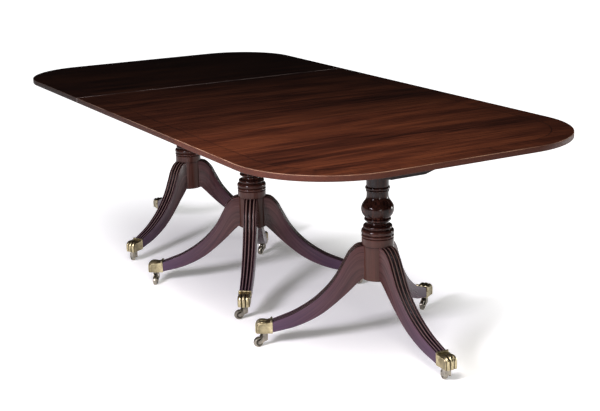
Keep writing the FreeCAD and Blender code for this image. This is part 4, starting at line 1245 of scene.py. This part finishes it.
# %% Floor
FLOOR_REACH = 40.0
NEAR_GLOW, FAR_GLOW = 0.15, 1.0
CLEAR_RADIUS, WHITE_RADIUS = 0.7, 1.7
OVAL = (2.2, 0.85, 1.0)
FLOOR_WHITE = (0.94, 0.94, 0.94, 1)
FLOOR_ROUGHNESS, FLOOR_GLOSS = 0.9, 0.1
floor_points = np.array([[-1, -1, 0], [1, -1, 0], [1, 1, 0], [-1, 1, 0]], float) * FLOOR_REACH
floor = new_piece("white_floor", floor_points, [[0, 1, 2, 3]])
floor_finish, tree, shader = new_material("white_floor")
floor.data.materials.append(floor_finish)
reach = tree.nodes.new("ShaderNodeVectorMath")
reach.operation = "LENGTH"
oval = tree.nodes.new("ShaderNodeMapping")
oval.inputs["Scale"].default_value = OVAL
put(tree, oval.inputs["Vector"], tree.nodes.new("ShaderNodeTexCoord").outputs["Object"])
put(tree, reach.inputs[0], oval.outputs["Vector"])
glow = remap(tree, reach.outputs["Value"], CLEAR_RADIUS, WHITE_RADIUS, NEAR_GLOW, FAR_GLOW)
rays = tree.nodes.new("ShaderNodeLightPath").outputs
mirrored = calc(tree, "MAXIMUM", rays["Is Glossy Ray"], rays["Is Transmission Ray"])
seen = calc(tree, "MAXIMUM", rays["Is Camera Ray"], mirrored)
put(tree, shader["Emission Strength"], calc(tree, "MULTIPLY", seen, glow))
shader["Emission Color"].default_value = (1, 1, 1, 1)
shader["Base Color"].default_value = FLOOR_WHITE
shader["Roughness"].default_value = FLOOR_ROUGHNESS
shader["Specular IOR Level"].default_value = FLOOR_GLOSS
print("floor:", floor.name, "reaching", FLOOR_REACH, "each way")

# %% World
MIRRORED_DARK, SOFT_FILL = 0.006, 0.16
scene = bpy.context.scene
world = bpy.data.worlds.new("studio")
scene.world = world
world.use_nodes = True
tree = world.node_tree
background = tree.nodes["Background"].inputs
background["Color"].default_value = (1, 1, 1, 1)
rays = tree.nodes.new("ShaderNodeLightPath").outputs
fill = remap(tree, rays["Is Diffuse Ray"], 0, 1, MIRRORED_DARK, SOFT_FILL)
put(tree, background["Strength"], calc(tree, "MAXIMUM", fill, rays["Is Camera Ray"]))
print("world:", world.name)


# %% Lamps
def area_lamp(name, place, target, size, power, colour, spread=180):
    """A round soft lamp at a place, facing its target, with a beam that is spread degrees wide."""
    lamp = bpy.data.lights.new(name, "AREA")
    lamp.shape = "DISK"
    lamp.size = size
    lamp.energy = power
    lamp.color = colour
    lamp.spread = radians(spread)
    thing = bpy.data.objects.new(name, lamp)
    thing.location = place
    thing.rotation_euler = (Vector(target) - Vector(place)).to_track_quat("-Z", "Y").to_euler()
    scene.collection.objects.link(thing)


WARM, COOL, CREAM, PALE, WHITE = (1, 0.95, 0.88), (0.94, 0.9, 1), (1, 0.97, 0.94), (1, 0.98, 0.96), (1, 1, 1)
area_lamp("over_near_end", (-1.2, -1.8, 2.2), (-0.3, -0.9, 0.7), size=0.9, power=15, colour=WARM, spread=110)
area_lamp("left_box", (-3.2, -1.3, 1.75), (0, -0.1, 0.3), size=0.9, power=145, colour=COOL)
area_lamp("low_front_box", (-0.8, -4.1, 0.68), (0, -0.5, 0.4), size=0.36, power=24, colour=CREAM)
area_lamp("low_right_box", (3.4, -1.2, 0.42), (0, 0, 0.3), size=0.5, power=36, colour=PALE)
area_lamp("behind_camera", (-1.8, -3.6, 4.4), (0, -0.6, 0.4), size=2.4, power=30, colour=WHITE)

# %% [markdown]
# ## The viewpoint
# A camera was fitted to the edges of the top, the joints and the feet, which gave its place, its turn
# and its focal length in pixels. The lens follows from that length and the sensor's width, and a small
# shift moves the picture's centre to the row that the fit found.

# %% Camera
PIXELS_WIDE, PIXELS_HIGH = 600, 411
SENSOR = 36.0
EYE = Vector((-2.1629, -3.9441, 1.5632))
PAN, TILT, ROLL = radians(30.06), radians(15.036), radians(-1.138)
FOCAL_PIXELS = 1214.0
CENTRE_ROW = 196.7
forward = Vector((sin(PAN) * cos(TILT), cos(PAN) * cos(TILT), -sin(TILT)))
right = Vector((cos(PAN), -sin(PAN), 0))
above = right.cross(forward)
rolled_right = right * cos(ROLL) + above * sin(ROLL)
rolled_above = above * cos(ROLL) - right * sin(ROLL)
camera = bpy.data.cameras.new("photo_view")
camera.sensor_width = SENSOR
camera.lens = FOCAL_PIXELS * SENSOR / PIXELS_WIDE
camera.shift_y = (CENTRE_ROW - PIXELS_HIGH / 2) / PIXELS_WIDE
viewer = bpy.data.objects.new("photo_view", camera)
turn = Matrix((rolled_right, rolled_above, -forward)).transposed().to_4x4()
viewer.matrix_world = Matrix.Translation(EYE) @ turn
scene.collection.objects.link(viewer)
scene.camera = viewer
scene.view_settings.view_transform = "Standard"
print("camera:", viewer.name, "lens", round(camera.lens, 1), "mm")
